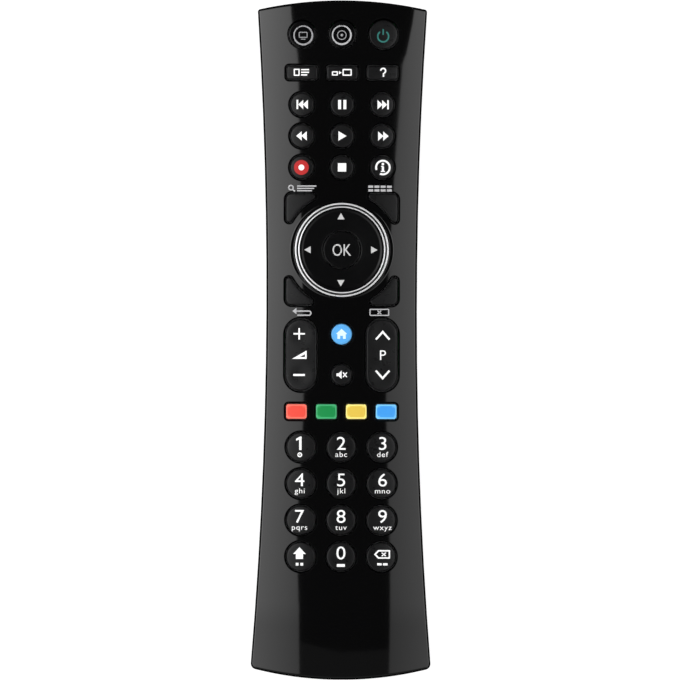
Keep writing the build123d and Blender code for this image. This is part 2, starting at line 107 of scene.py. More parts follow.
# Ring pad and OK key, in mm: each section's corners as radius, height and, where it is rounded, its easing
TRIM_SECTION = ((14.65, 20.1), (15.17, 20.1), (15.17, 22.34, 0.13), (14.65, 22.4, 0.13))
PAD_RIM_SECTION = ((13.66, 21.2), (14.05, 21.2), (14.05, 22.12, 0.12), (13.66, 22.2, 0.12))
PAD_SECTION = ((6.3, 19.5), (14.05, 19.5), (14.05, 21.2), (13.66, 21.2), (13.66, 22.0, 0.08),
               (12.95, 21.98, 0.15), (12.5, 21.68, 0.3), (6.3, 21.6, 0.3))
OK_SECTION = ((0.0, 17.0), (5.95, 17.0), (5.95, 21.64, 0.35), (4.6, 21.6, 0.5), (0.0, 21.62))
PAD_BORE_R = 6.3
PAD_TOP = 21.6
PAD_RISE = 0.08
PAD_RISE_RUN = 6.2
OK_PRINT_Z = 21.615

# Cells, in mm
CELL_R = 5.2
CELL_L = 43.7
CELL_NUB_R = 1.9
CELL_NUB_L = 0.8
CELL_X = 6.0
CELL_Y = -54.0
CELL_Z = 7.5
CELL_CAP = 11.0

# Print
PRINT_T = 0.02 * MM
PRINT_LIFT = 0.025 * MM
DOT_LIFT = 0.02 * MM
FONT_CAPITAL = 0.69
LABEL_LEFT = -12.9 * MM
LABEL_RIGHT = 12.2 * MM
LABEL_HIGH = 49.0 * MM
LABEL_LOW = 9.0 * MM

# How finely outlines and surfaces are cut up, and how close points may lie
SIDE_STEPS = 110
END_STEPS = 30
TOP_CORNER_STEPS = 8
BOTTOM_CORNER_STEPS = 10
WALL_ROWS = 4
RIM_STEPS = 6
EDGE_STEPS = 5
EASE_STEPS = 4
TURN_STEPS = 144
CELL_STEPS = 64
SIGN_STEPS = 48
SETTLE_ROUNDS = 30
FACE_STEP = 2.2 * MM
UNDER_STEP = 5 * MM
KEY_STEP = 0.65 * MM
PRINT_STEP = 0.4 * MM
PRINT_FILL = 1.4 * PRINT_STEP
ROW_SHARE = 0.87
CLEAR_SHARE = 0.6
HOLE_LEAST = 0.05 * MM
KEY_LEAST = 0.04 * MM
GLYPH_LEAST = 0.002
POLE_R = 0.001
PATCH_SCALE = 1000.0
WELD = 1e-7
SKIN_WELD = 2e-6

# Degrees past which an edge stays sharp
FORM_SHARP = 40
SKIN_SHARP = 35
TURNED_SHARP = 30
PRINT_SHARP = 20

# Studio: height and reach of the soft boxes, where each one's near side runs, and where both grow dim
LIGHT_Z = 0.6
LIGHT_FAR = 1.5
LEFT_EDGE = ((0.211, -1.2), (0.207, -0.1), (0.221, -0.07), (0.19, -0.032), (0.183, -0.01), (0.214, 0.08),
             (0.224, 0.12), (0.258, 0.2), (0.33, 0.5))
RIGHT_EDGE = ((0.248, -1.2), (0.248, -0.08), (0.222, -0.025), (0.231, 0.02), (0.272, 0.068), (0.334, 0.12),
              (0.379, 0.2), (0.507, 0.5))
LEFT_STRENGTH = 1.65
RIGHT_STRENGTH = 1.06
FADE_START = -0.15
FADE_END = 0.03
FADE_SHARE = 0.56
NEAR_START = -1.1
NEAR_END = -0.3
NEAR_SHARE = 0.7
SIDE_START = 0.2
SIDE_END = 1.0
SIDE_SHARE = 3.6
TOP_HALF = 0.7
TOP_Z = 1.3
TOP_STRENGTH = 1.6
CARD_OUTLINE = ((-0.209, -0.184), (0.0, -0.205), (0.246, -0.203), (0.246, -1.2), (-0.209, -1.2))
CARD_NEAR = 0.085
CARD_FAR = 0.45
TABLE_HALF = 3
TABLE_GLOW = 0.84
TABLE_PAPER = 0.3
TABLE_BOUNCE = 0.35
TABLE_IN_GLOSS = 0.004
ROOM_LOW_Z = 0.2
ROOM_HIGH_Z = 0.9
ROOM_LOW = 0.25
ROOM_HIGH = 0.02
GLOSSY_ROOM = 0.35

# Camera
CAMERA_AWAY = 5.0
CAMERA_X = -0.5 * MM
CAMERA_Y = 0.03 * MM
CAMERA_TURN = math.radians(0.166)
CAMERA_END = 20
SENSOR = 36
PHOTO_SIDE = 680
PIXEL_MM = 0.32335
PIXEL_Z = 18 * MM

# Materials
GRAIN_DETAIL = 3
DRIFT_DETAIL = 4
DRIFT_START = 0.35
DRIFT_END = 0.65
MIX_FIRST = 6
MIX_SECOND = 7
MIX_COLOUR = 2
SLEEVE_BLACK = (0.012, 0.012, 0.013)
SLEEVE_COPPER = (0.5, 0.21, 0.07)

# Each ink's record slot, colour and roughness
INKS = {
    "white_ink": ("white_print", (0.92, 0.92, 0.92), 0.45),
    "pad_ink": ("white_print", (0.51, 0.51, 0.51), 0.45),
    "grey_ink": ("grey_print", (0.42, 0.42, 0.43), 0.45),
    "dull_ink": ("grey_print", (0.3, 0.3, 0.31), 0.45),
    "pale_ink": ("white_print", (0.66, 0.84, 0.95), 0.45),
    "teal_ink": ("teal_print", (0.022, 0.16, 0.14), 0.45),
    "red_ink": ("red_print", (0.44, 0.012, 0.012), 0.5),
}

# Round keys, with how far each stands out of the face in mm, and the others
MODE_KEYS = ("mode_tv_key", "mode_recorder_key")
ROUND_KEYS = dict.fromkeys(MODE_KEYS, 0.3)
ROUND_KEYS.update(dict.fromkeys((
    "power_key", "skip_back_key", "pause_key", "skip_forward_key", "rewind_key", "play_key",
    "fast_forward_key", "record_key", "stop_key", "info_key", "home_key", "mute_key",
), 0.5))
ROUND_KEYS.update(dict.fromkeys(("shift_key", "delete_key", *("digit_%d_key" % n for n in range(10))), 0.6))
WIDE_KEYS = ("text_key", "zoom_key", "help_key")
COLOUR_KEYS = ("red_key", "green_key", "yellow_key", "blue_key")
ROCKERS = ("volume_rocker", "programme_rocker")
CORNER_KEYS = {"search_key": (-1, 1), "guide_key": (1, 1), "back_key": (-1, -1), "close_key": (1, -1)}
KEYS = (*ROUND_KEYS, *WIDE_KEYS, *COLOUR_KEYS, *ROCKERS, *CORNER_KEYS)


# Outlines

def face_height(x, y, rise=0.0):
    """Height of the crowned face, which also falls away towards both ends."""
    over = FALL_R - CROWN_R + math.sqrt((CROWN_R + rise) ** 2 - x * x)
    run = max(0.0, y - TOP_FALL_Y, BOTTOM_FALL_Y - y)
    return HEIGHT - FALL_R + math.sqrt(over * over - run * run)


def face_normal(x, y):
    """Way that the face looks at (x, y)."""
    under = math.sqrt(CROWN_R ** 2 - x * x)
    over = FALL_R - CROWN_R + under
    run = max(0.0, y - TOP_FALL_Y) - max(0.0, BOTTOM_FALL_Y - y)
    drop = math.sqrt(over * over - run * run)
    return Vector((over * x / (drop * under), run / drop, 1)).normalized()


def arc(cx, cy, radius, start, end, steps):
    """Points round part of a circle, angles in degrees."""
    points = []
    for i in range(steps + 1):
        a = math.radians(start + (end - start) * i / steps)
        points.append((cx + radius * math.cos(a), cy + radius * math.sin(a)))
    return points


def circle(cx, cy, radius, steps=64):
    return arc(cx, cy, radius, 0, 360, steps)[:-1]


def stadium(cx, cy, width, length, steps=32):
    radius = width / 2
    half = length / 2 - radius
    return arc(cx, cy + half, radius, 0, 180, steps) + arc(cx, cy - half, radius, 180, 360, steps)


def rounded_box(cx, cy, width, height, radius, steps=8):
    x = width / 2 - radius
    y = height / 2 - radius
    points = []
    for sx, sy, start in ((1, 1, 0), (-1, 1, 90), (-1, -1, 180), (1, -1, 270)):
        points += arc(cx + sx * x, cy + sy * y, radius, start, start + 90, steps)
    return points


def corner_outline(cx, cy, side, top, grow=0.0):
    """Key in the corner between the ring pad's round and the square of its neighbours."""
    reach = (CORNER_TOP if top > 0 else CORNER_BOTTOM) + grow
    far = CORNER_X + grow
    outer = CORNER_OUTER_R + grow
    tip = CORNER_TIP_R + grow
    inner = CORNER_ARC_R - grow
    tip_x = math.sqrt((inner + tip) ** 2 - (reach - tip) ** 2)
    tip_y = math.sqrt((inner + tip) ** 2 - (far - tip) ** 2)
    first = math.degrees(math.atan2(reach - tip, tip_x))
    last = math.degrees(math.atan2(tip_y, far - tip))
    points = arc(far - outer, reach - outer, outer, 0, 90, 10)
    points += arc(tip_x, reach - tip, tip, 90, 180 + first, 12)
    points += arc(0, 0, inner, first, last, 24)[1:-1]
    points += arc(far - tip, tip_y, tip, 180 + last, 360, 12)
    points = [(cx + side * x, cy + top * y) for x, y in points]
    return points if side * top > 0 else points[::-1]


def outward(points):
    """Unit way out of an outline that runs anticlockwise, at each of its points."""
    ways = []
    for i in range(len(points)):
        ax, ay = points[i - 1]
        bx, by = points[(i + 1) % len(points)]
        length = math.hypot(bx - ax, by - ay) or 1.0
        ways.append(((by - ay) / length, (ax - bx) / length))
    return ways


def grown(points, distance):
    """Outline moved outwards by distance, or inwards where that is negative."""
    return [(x + ux * distance, y + uy * distance) for (x, y), (ux, uy) in zip(points, outward(points))]


def dense(loop, step):
    """Outline with points added so that none of its sides is longer than step."""
    points = []
    for i, (x, y) in enumerate(loop):
        bx, by = loop[(i + 1) % len(loop)]
        count = max(1, math.ceil(math.hypot(bx - x, by - y) / step))
        points += [(x + (bx - x) * k / count, y + (by - y) * k / count) for k in range(count)]
    return points


def thinned(points, least):
    """Drops points that crowd each other."""
    kept = []
    for p in points:
        if not kept or math.hypot(p[0] - kept[-1][0], p[1] - kept[-1][1]) > least:
            kept.append(p)
    return kept


def distance_to(loop, x, y):
    return min(math.hypot(px - x, py - y) for px, py in loop)


def inside(loop, x, y):
    hit = False
    for i, (ax, ay) in enumerate(loop):
        bx, by = loop[i - 1]
        if (ay > y) != (by > y) and x < (bx - ax) * (y - ay) / (by - ay) + ax:
            hit = not hit
    return hit


def between(loops, x, y):
    """Whether a point is inside the first loop and outside all the others."""
    return inside(loops[0], x, y) and not any(inside(hole, x, y) for hole in loops[1:])


def area(loop):
    return sum(ax * by - bx * ay for (ax, ay), (bx, by) in zip(loop, loop[1:] + loop[:1])) / 2


def curve(a, b, c, t):
    """Point on the curve that leaves a towards b and ends at c."""
    return a * (1 - t) ** 2 + b * 2 * t * (1 - t) + c * t * t


# Meshes

def spread(loops, step):
    """Inner points for a patch bounded by loops, the first being the outside one."""
    xs = [p[0] for p in loops[0]]
    ys = [p[1] for p in loops[0]]
    points = []
    row = 0
    y = min(ys) + step / 2
    while y < max(ys):
        x = min(xs) + step * (0.5 if row % 2 else 0.0)
        while x < max(xs):
            if between(loops, x, y) and all(distance_to(loop, x, y) > step * CLEAR_SHARE for loop in loops):
                points.append((x, y))
            x += step
        y += step * ROW_SHARE
        row += 1
    return points


def patch(loops, step):
    """Triangles that fill loops: all points, faces, and where each of the loops' own points went."""
    flat = [p for loop in loops for p in loop]
    edges = []
    start = 0
    for loop in loops:
        count = len(loop)
        edges += [(start + i, start + (i + 1) % count) for i in range(count)]
        start += count
    points = [Vector((x * PATCH_SCALE, y * PATCH_SCALE)) for x, y in flat + spread(loops, step)]
    made = delaunay_2d_cdt(points, edges, [], 0, 1e-6)
    out_points = [(p.x / PATCH_SCALE, p.y / PATCH_SCALE) for p in made[0]]
    where = {}
    for index, sources in enumerate(made[3]):
        for source in sources:
            where[source] = index
    faces = []
    for face in made[2]:
        x = sum(out_points[i][0] for i in face) / len(face)
        y = sum(out_points[i][1] for i in face) / len(face)
        if between(loops, x, y):
            faces.append(tuple(face))
    return out_points, faces, [where[i] for i in range(len(flat))]


def added(name, data):
    """New object in the scene."""
    piece = bpy.data.objects.new(name, data)
    bpy.context.scene.collection.objects.link(piece)
    return piece


def shaded(name, mesh, sharp):
    """Piece with this mesh, smooth except at edges that turn by more than sharp degrees."""
    mesh.shade_smooth()
    mesh.set_sharp_from_angle(angle=math.radians(sharp))
    return added(name, mesh)


class Form:
    """Points and faces of one piece while it is being made."""

    def __init__(self):
        self.points = []
        self.faces = []
        self.normals = {}

    def ring(self, points, normals=None):
        start = len(self.points)
        self.points += [tuple(p) for p in points]
        for i, normal in enumerate(normals or []):
            self.normals[start + i] = normal
        return list(range(start, start + len(points)))

    def wall(self, low, high):
        """Faces between two rings, outwards where both run anticlockwise and high is the upper one."""
        for i in range(len(low)):
            j = (i + 1) % len(low)
            self.faces.append((low[i], low[j], high[j], high[i]))

    def walls(self, rings):
        for low, high in zip(rings, rings[1:]):
            self.wall(low, high)

    def sheet(self, loops, rings, height, step, flip=False, normal=None):
        """Fills loops, joined to the rings that already stand for them."""
        points, faces, order = patch(loops, step)
        place = dict(zip(order, [index for ring in rings for index in ring]))
        for index, (x, y) in enumerate(points):
            if index not in place:
                place[index] = len(self.points)
                if normal:
                    self.normals[len(self.points)] = normal(x, y)
                self.points.append((x, y, height(x, y)))
        for face in faces:
            corners = [place[i] for i in face]
            self.faces.append(tuple(corners[::-1] if flip else corners))

    def done(self, name, sharp=FORM_SHARP):
        """The form as a piece in the scene, its faces turned outwards."""
        mesh = bpy.data.meshes.new(name)
        mesh.from_pydata(self.points, [], self.faces)
        mesh.validate()
        work = bmesh.new()
        work.from_mesh(mesh)
        if not self.normals:
            bmesh.ops.remove_doubles(work, verts=work.verts, dist=WELD)
        bmesh.ops.recalc_face_normals(work, faces=work.faces)
        work.to_mesh(mesh)
        work.free()
        piece = shaded(name, mesh, sharp)
        if self.normals:
            self.shade(mesh)
        return piece

    def shade(self, mesh):
        """Gives each corner the form's true way there, where its face looks much the same way."""
        ways = [Vector(corner.vector) for corner in mesh.corner_normals]
        for face in mesh.polygons:
            for corner in face.loop_indices:
                true = self.normals.get(mesh.loops[corner].vertex_index)
                if true and true.dot(face.normal) > 0.7:
                    ways[corner] = true
        mesh.normals_split_custom_set(ways)


def finished(piece, body, material, slot, *replaced):
    """Gives a piece its material, its body and the nodes that it stands for."""
    piece.data.materials.clear()
    piece.data.materials.append(material)
    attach(piece, body)
    if replaced:
        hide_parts(*replaced)
    return piece


def merged_copy(node, name):
    """Copy of a frame node with its triangles joined, so that it shades as one skin."""
    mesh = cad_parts[node].data.copy()
    mesh.name = name
    mesh.materials.clear()
    work = bmesh.new()
    work.from_mesh(mesh)
    bmesh.ops.remove_doubles(work, verts=work.verts, dist=SKIN_WELD)
    work.to_mesh(mesh)
    work.free()
    return shaded(name, mesh, SKIN_SHARP)


# Casing

def end_meets_side(centre_y, radius, sign, corner):
    """Centre of a corner's round, between one end's arc and the side's arc."""
    x = WAIST_HALF
    for _ in range(SETTLE_ROUNDS):
        y = centre_y + sign * math.sqrt((radius - corner) ** 2 - x * x)
        side = (SIDE_R + corner) ** 2 - (y - WAIST_Y) ** 2
        x = WAIST_HALF + SIDE_R - math.sqrt(side)
    return x, y


def casing_outline():
    """Outline at the parting line with its corners rounded, and how much of an end each point is."""
    points = []
    shares = []

    def add(found, share):
        points.extend(found)
        shares.extend([share] * len(found))

    def add_corner(x, y, radius, start, end, steps, after_end):
        for i, point in enumerate(arc(x, y, radius, start, end, steps)[1:-1]):
            share = (i + 1) / steps
            add([point], 1 - share if after_end else share)

    top_y = LENGTH / 2 - TOP_END_R
    low_y = BOTTOM_END_R - LENGTH / 2
    tx, ty = end_meets_side(top_y, TOP_END_R, 1, TOP_CORNER_R)
    bx, by = end_meets_side(low_y, BOTTOM_END_R, -1, BOTTOM_CORNER_R)
    top_turn = math.degrees(math.atan2(ty - top_y, tx))
    low_turn = math.degrees(math.atan2(by - low_y, bx))
    side_x = WAIST_HALF + SIDE_R
    top_side = math.degrees(math.atan2(ty - WAIST_Y, side_x - tx))
    low_side = math.degrees(math.atan2(by - WAIST_Y, side_x - bx))
    right = []
    for i in range(SIDE_STEPS + 1):
        a = math.radians(low_side + (top_side - low_side) * i / SIDE_STEPS)
        right.append((side_x - SIDE_R * math.cos(a), WAIST_Y + SIDE_R * math.sin(a)))
    add(right, 0)
    add_corner(tx, ty, TOP_CORNER_R, -top_side, top_turn, TOP_CORNER_STEPS, False)
    add(arc(0, top_y, TOP_END_R, top_turn, 180 - top_turn, END_STEPS), 1)
    add_corner(-tx, ty, TOP_CORNER_R, 180 - top_turn, 180 + top_side, TOP_CORNER_STEPS, True)
    add([(-x, y) for x, y in reversed(right)], 0)
    add_corner(-bx, by, BOTTOM_CORNER_R, 180 + low_side, 180 - low_turn, BOTTOM_CORNER_STEPS, False)
    add(arc(0, low_y, BOTTOM_END_R, 180 - low_turn, 360 + low_turn, END_STEPS), 1)
    add_corner(bx, by, BOTTOM_CORNER_R, low_turn, -low_side, BOTTOM_CORNER_STEPS, True)
    low, high = cad_box
    return [(x, min(max(y, low[1]), high[1])) for x, y in points], shares


def lean_at(z):
    """How far the wall has leaned in at this height."""
    return (z - PART_Z) * SIDE_LEAN


def wall_section():
    """For each point of the outline, the way inwards, its rim's size and the height where wall meets face."""
    found = []
    points, shares = casing_outline()
    for (x, y), (ux, uy), share in zip(points, outward(points), shares):
        z = face_height(x, y)
        for _ in range(SETTLE_ROUNDS):
            inset = lean_at(z)
            z = face_height(x - ux * inset, y - uy * inset)
        rim = RIM_R + (BOTTOM_RIM_R - RIM_R) * share * (y < 0)
        found.append((x, y, -ux, -uy, rim, z))
    return found


def outer_wall(form, section):
    """Leaning wall and rounded rim: their rings from the parting line up, and the outline of the last."""
    rings = []
    for k in range(WALL_ROWS + 1):
        row = []
        ways = []
        for x, y, nx, ny, size, top in section:
            z = PART_Z + (top - size - PART_Z) * k / WALL_ROWS
            inset = lean_at(z)
            row.append((x + nx * inset, y + ny * inset, z))
            ways.append(Vector((-nx, -ny, SIDE_LEAN)).normalized())
        rings.append(form.ring(row, ways))
    rim = [[] for _ in range(RIM_STEPS)]
    rim_ways = [[] for _ in range(RIM_STEPS)]
    boundary = []
    for x, y, nx, ny, size, top in section:
        low_in = lean_at(top - size)
        corner_in = lean_at(top)
        far_in = corner_in + size
        far = (x + nx * far_in, y + ny * far_in)
        a = Vector((x + nx * low_in, y + ny * low_in, top - size))
        b = Vector((x + nx * corner_in, y + ny * corner_in, top))
        c = Vector((far[0], far[1], face_height(*far)))
        for i in range(RIM_STEPS):
            t = (i + 1) / RIM_STEPS
            rim[i].append(tuple(curve(a, b, c, t)))
            along = (b - a) * (1 - t) + (c - b) * t
            way = along.cross(Vector((-ny, nx, 0))).normalized()
            rim_ways[i].append(way * (1 if way.z > 0 else -1))
        rim_ways[-1][-1] = face_normal(*far)
        boundary.append(far)
    rings += [form.ring(row, ways) for row, ways in zip(rim, rim_ways)]
    form.walls(rings)
    return rings, boundary


def oblong(name):
    """Centre and size of a key's box; the wide keys' upper edge lies lower than the frame has it."""
    low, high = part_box(name)
    if name in WIDE_KEYS:
        high = high - Vector((0, WIDE_TRIM, 0))
    return (low + high) / 2, high - low


def round_place(name):
    """Centre and radius of a round key."""
    low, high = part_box(name)
    return (low + high) / 2, (high.x - low.x) / 2


def key_outline(name, hole=False):
    """Outline of a key, or of the hole in the face that it stands in."""
    gap = KEY_GAP if hole else 0.0
    if name in CORNER_KEYS:
        return corner_outline(0, pad_y, *CORNER_KEYS[name], gap)
    if name in ROUND_KEYS:
        centre, radius = round_place(name)
        return circle(centre.x, centre.y, radius + gap)
    centre, size = oblong(name)
    if name in ROCKERS:
        gap = ROCKER_GAP if hole else 0.0
        return stadium(centre.x, centre.y, size.x + 2 * gap, size.y + 2 * gap)
    radius = WIDE_HOLE_R if hole else WIDE_KEY_R
    return rounded_box(centre.x, centre.y, size.x + 2 * gap, size.y + 2 * gap, radius)


def hole_wall(form, hole, edge):
    """Eased edge and wall of one hole, as rings from the face down to its underside."""
    inward = [Vector((-ux, -uy, 0)) for ux, uy in outward(hole)]
    rings = []
    for out, drop in ((edge, 0.0), (edge - HOLE_EASE, HOLE_EASE / 2), (HOLE_EASE / 2, HOLE_DROP - HOLE_EASE),
                      (0.0, HOLE_DROP), (0.0, FACE_T)):
        loop = grown(hole, out)
        ways = {edge: [face_normal(x, y) for x, y in loop], 0.0: inward}.get(out)
        rings.append(form.ring([(x, y, face_height(x, y) - drop) for x, y in loop], ways))
    form.walls(rings)
    return rings


def pad_collar(form):
    """Cone that rises out of the face round the pad, then the bore and ledge that hold the bright ring.

    Gives back the outline and ring where it leaves the face, and those where it meets the underside."""
    feet = []
    for i in range(TURN_STEPS):
        a = 2 * math.pi * i / TURN_STEPS
        radius = COLLAR_R
        for _ in range(SETTLE_ROUNDS):
            z = face_height(radius * math.cos(a), pad_y + radius * math.sin(a))
            radius = COLLAR_R + (COLLAR_TOP - z) / COLLAR_SLOPE
        feet.append((math.cos(a), math.sin(a), radius))
    cone_ways = [Vector((c * COLLAR_SLOPE, s * COLLAR_SLOPE, 1)).normalized() for c, s, _ in feet]

    def level(places, ways=None):
        """Ring with a radius and a height of its own for each step round."""
        rings.append(form.ring([(r * c, pad_y + r * s, z) for (c, s, _), (r, z) in zip(feet, places)], ways))

    loop = [((r + COLLAR_BLEND) * c, pad_y + (r + COLLAR_BLEND) * s) for c, s, r in feet]
    rings = [form.ring([(x, y, face_height(x, y)) for x, y in loop], [face_normal(x, y) for x, y in loop])]
    level([(r + COLLAR_BLEND * 0.4, face_height(r * c, 0) + 0.02 * MM) for c, s, r in feet])
    near = [max(COLLAR_R + 0.04 * MM, r - COLLAR_BLEND * 0.5) for _, _, r in feet]
    level([(r, COLLAR_TOP - (r - COLLAR_R) * COLLAR_SLOPE) for r in near], cone_ways)
    for radius, z, ways in (
        (COLLAR_R + 0.03 * MM, COLLAR_TOP - 0.06 * MM, cone_ways),
        (COLLAR_R - 0.05 * MM, COLLAR_TOP, None),
        (TRIM_SEAT, COLLAR_TOP - 0.02 * MM, None),
        (TRIM_SEAT, LEDGE_Z, None),
        (LEDGE_R, LEDGE_Z, None),
    ):
        level([(radius, z)] * TURN_STEPS, ways)
    bore = [(LEDGE_R * c, pad_y + LEDGE_R * s) for c, s, _ in feet]
    level([(LEDGE_R, face_height(x, y) - FACE_T) for x, y in bore])
    form.walls(rings)
    return loop, rings[0], bore, rings[-1]


def face_shell():
    """Crowned face: rounded rim, leaning walls, an eased edge to every hole and a collar for the pad."""
    form = Form()
    section = wall_section()
    wall, boundary = outer_wall(form, section)
    loops = [boundary]
    rings = [wall[-1]]
    under_loops = []
    under_rings = []
    edge_points = set()
    for name in KEYS:
        edge = MODE_HOLE_EDGE if name in MODE_KEYS else HOLE_EDGE
        hole = thinned(key_outline(name, hole=True), HOLE_LEAST)
        bands = hole_wall(form, hole, edge)
        edge_points.update(index for ring in bands[1:-1] for index in ring)
        loops.append(grown(hole, edge))
        rings.append(bands[0])
        under_loops.append(hole)
        under_rings.append(bands[-1])
    collar_loop, collar_ring, bore_loop, bore_ring = pad_collar(form)
    loops.append(collar_loop)
    rings.append(collar_ring)
    form.sheet(loops, rings, face_height, FACE_STEP, normal=face_normal)

    foot = form.ring([(x + nx * SHELL, y + ny * SHELL, PART_Z) for x, y, nx, ny, _, _ in section])
    inner_loop = []
    for x, y, nx, ny, _, top in section:
        inset = lean_at(top) + SHELL
        inner_loop.append((x + nx * inset, y + ny * inset))
    inner_ring = form.ring([(x, y, face_height(x, y) - FACE_T) for x, y in inner_loop])
    form.wall(foot, wall[0])
    form.wall(inner_ring, foot)
    form.sheet([inner_loop, *under_loops, bore_loop], [inner_ring, *under_rings, bore_ring],
               lambda x, y: face_height(x, y) - FACE_T, UNDER_STEP, flip=True)
    shell = finished(form.done("face_shell"), "casing", gloss_black, "gloss_black", "top_cover")
    # Faces on each hole's eased edge and the top of its wall take a near-black finish with little gloss:
    # painted shade of the gap round each key
    shell.data.materials.append(painted_hole_shade)
    for face in shell.data.polygons:
        if edge_points.intersection(face.vertices):
            face.material_index = 1


# Keys

def key_cap(name, outline, base, height):
    """Key with straight sides and a rounded upper edge, its top given by height(x, y)."""
    form = Form()
    outline = thinned(outline, KEY_LEAST)
    low = form.ring([(x, y, base) for x, y in outline])
    rows = [low]
    for i in range(EDGE_STEPS + 1):
        a = math.radians(90 * i / EDGE_STEPS)
        loop = grown(outline, -KEY_EDGE * (1 - math.cos(a)))
        drop = KEY_EDGE * (1 - math.sin(a))
        rows.append(form.ring([(x, y, height(x, y) - drop) for x, y in loop]))
    form.walls(rows)
    form.sheet([loop], [rows[-1]], height, KEY_STEP)
    form.faces.append(tuple(low[::-1]))
    rounded = set(index for row in rows[1:] for index in row)
    piece = form.done(name)
    # The rounded edge's points are marked "edge" so that rubber() can give them a rim colour, which is
    # painted light on the edge
    painted_rim_light = piece.data.attributes.new("edge", "FLOAT", "POINT")
    for index in range(len(piece.data.vertices)):
        painted_rim_light.data[index].value = 1.0 if index in rounded else 0.0
    return piece


def domed(cx, cy, reach, rise, dome):
    """Top that follows the face and swells a little towards the key's middle."""

    def height(x, y):
        share = min(1.0, math.hypot(x - cx, y - cy) / reach)
        return face_height(x, y, rise) + dome * (1 - share * share)

    return height


def level_top(cx, cy, rise):
    """Top that leans less than the face does, so that a mode key stays out of the soft boxes' reflections."""
    tilt = cx / CROWN_R * MODE_TILT
    flat = face_height(cx, cy, rise)

    def height(x, y):
        return flat - (x - cx) * tilt

    return height


def rocker_top(cx, cy, size):
    """Rocker's top, crowned with the face, with a thumb hollow at each end."""
    middle = (size.y - size.x) / 2

    def height(x, y):
        z = face_height(x, y, ROCKER_PROUD)
        for end in (-1, 1):
            away = math.hypot(x - cx, y - cy - end * middle) / ROCKER_DISH_R
            if away < 1:
                z -= ROCKER_DISH * (1 - away * away) ** 2
        return z

    return height


def key_top(name):
    """Height of a key's top over any point."""
    if name in CORNER_KEYS:
        return domed(*centre_of(name), CORNER_REACH, CORNER_RISE, WIDE_DOME)
    if name in ROUND_KEYS:
        centre, radius = round_place(name)
        rise = ROUND_KEYS[name] * MM - KEY_DOME - KEY_SUNK
        if name in MODE_KEYS:
            return level_top(centre.x, centre.y, rise)
        return domed(centre.x, centre.y, radius, rise, KEY_DOME)
    centre, size = oblong(name)
    if name in ROCKERS:
        return rocker_top(centre.x, centre.y, size)
    rise = WIDE_RISE if name in WIDE_KEYS else COLOUR_RISE
    return domed(centre.x, centre.y, size.x / 2, rise, WIDE_DOME)


def looks_of(name):
    """Finish and record slot of a key."""
    if name == "home_key":
        return home_blue, "blue_rubber"
    if name in COLOUR_KEYS:
        colour = name.split("_")[0]
        return colours[colour], colour + "_rubber"
    return (mode_black if name in MODE_KEYS else key_black), "key_rubber"


def make_keys():
    """Every key's cap; gives back each top's height for the print that lies on it."""
    heights = {}
    for name in KEYS:
        heights[name] = key_top(name)
        cap = key_cap(name + "_cap", key_outline(name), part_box(name)[0].z, heights[name])
        finish, slot = looks_of(name)
        finished(cap, name, finish, slot, name)
    return heights


# Turned pieces

def eased(corners):
    """Section with its corners rounded where they give an easing."""
    points = []
    for i, corner in enumerate(corners):
        here = Vector(corner[:2])
        if len(corner) < 3:
            points.append(tuple(here))
            continue
        before = Vector(corners[i - 1][:2])
        after = Vector(corners[(i + 1) % len(corners)][:2])
        a = here + (before - here).normalized() * corner[2]
        b = here + (after - here).normalized() * corner[2]
        points += [tuple(curve(a, here, b, k / EASE_STEPS)) for k in range(EASE_STEPS + 1)]
    return points


def turned(section, ring_at):
    """Surface swept by a section, which closes on itself unless it starts on the axis.

    ring_at(radius, height) gives the points of one turn."""
    form = Form()
    rings = [form.ring(ring_at(max(radius, POLE_R), height)) for radius, height in eased(section)]
    form.walls(rings + rings[:1] if section[0][0] > 0 else rings)
    return form


def make_pad():
    """Ring pad, its two bright rings and the OK key."""

    def ring_at(radius, height):
        return [(x, y, height * MM) for x, y in circle(0, pad_y, radius * MM, TURN_STEPS)]

    for name, section, body, finish, slot, node in (
        ("trim_ring", TRIM_SECTION, "casing", bright, "bright_trim", "nav_trim_ring"),
        ("pad_rim", PAD_RIM_SECTION, "nav_pad", bright, "bright_trim", "nav_pad_rim"),
        ("pad_disc", PAD_SECTION, "nav_pad", pad_black, "dark_satin", "nav_pad"),
        ("ok_cap", OK_SECTION, "ok_key", ok_black, "dark_satin", "ok_key"),
    ):
        finished(turned(section, ring_at).done(name, TURNED_SHARP), body, finish, slot, node)


def make_cells():
    """Two round cells side by side, nose to tail, in a sleeve of two colours with bare ends."""
    half = (CELL_L + CELL_NUB_L) / 2
    shoulder = CELL_L - 0.2
    section = ((0.0, 0.0), (CELL_R, 0.0, 0.35), (CELL_R, shoulder, 0.5), (CELL_NUB_R + 1.2, shoulder),
               (CELL_NUB_R, CELL_L), (CELL_NUB_R, CELL_L + CELL_NUB_L, 0.2), (0.0, CELL_L + CELL_NUB_L))
    for node, side, sleeve_colours in (("battery_left", -1, (SLEEVE_BLACK, SLEEVE_COPPER)),
                                       ("battery_right", 1, (SLEEVE_COPPER, SLEEVE_BLACK))):

        def ring_at(radius, along):
            y = (CELL_Y + side * (half - along)) * MM
            turn = circle(0, 0, radius, CELL_STEPS)
            return [((side * CELL_X + u) * MM, y, (CELL_Z + v) * MM) for u, v in turn]

        cap_line = (CELL_Y - side * (half - CELL_NUB_L - CELL_CAP)) * MM
        sleeve = banded(node + "_sleeve", *sleeve_colours, "Y", cap_line, 0.3)
        form = turned(section, ring_at)
        can = finished(form.done(node + "_can", TURNED_SHARP), "casing", sleeve, "cell_can", node)
        can.data.materials.append(nickel)
        for face in can.data.polygons:
            away = math.hypot(face.center.x / MM - side * CELL_X, face.center.z / MM - CELL_Z)
            if abs(face.normal.y) > 0.6 or away < CELL_NUB_R + 0.1:
                face.material_index = 1


# Signs, each a list of loops in mm

def shape(*points):
    return [list(points)]


def disc(cx, cy, radius, steps):
    return [circle(cx, cy, radius, steps)]


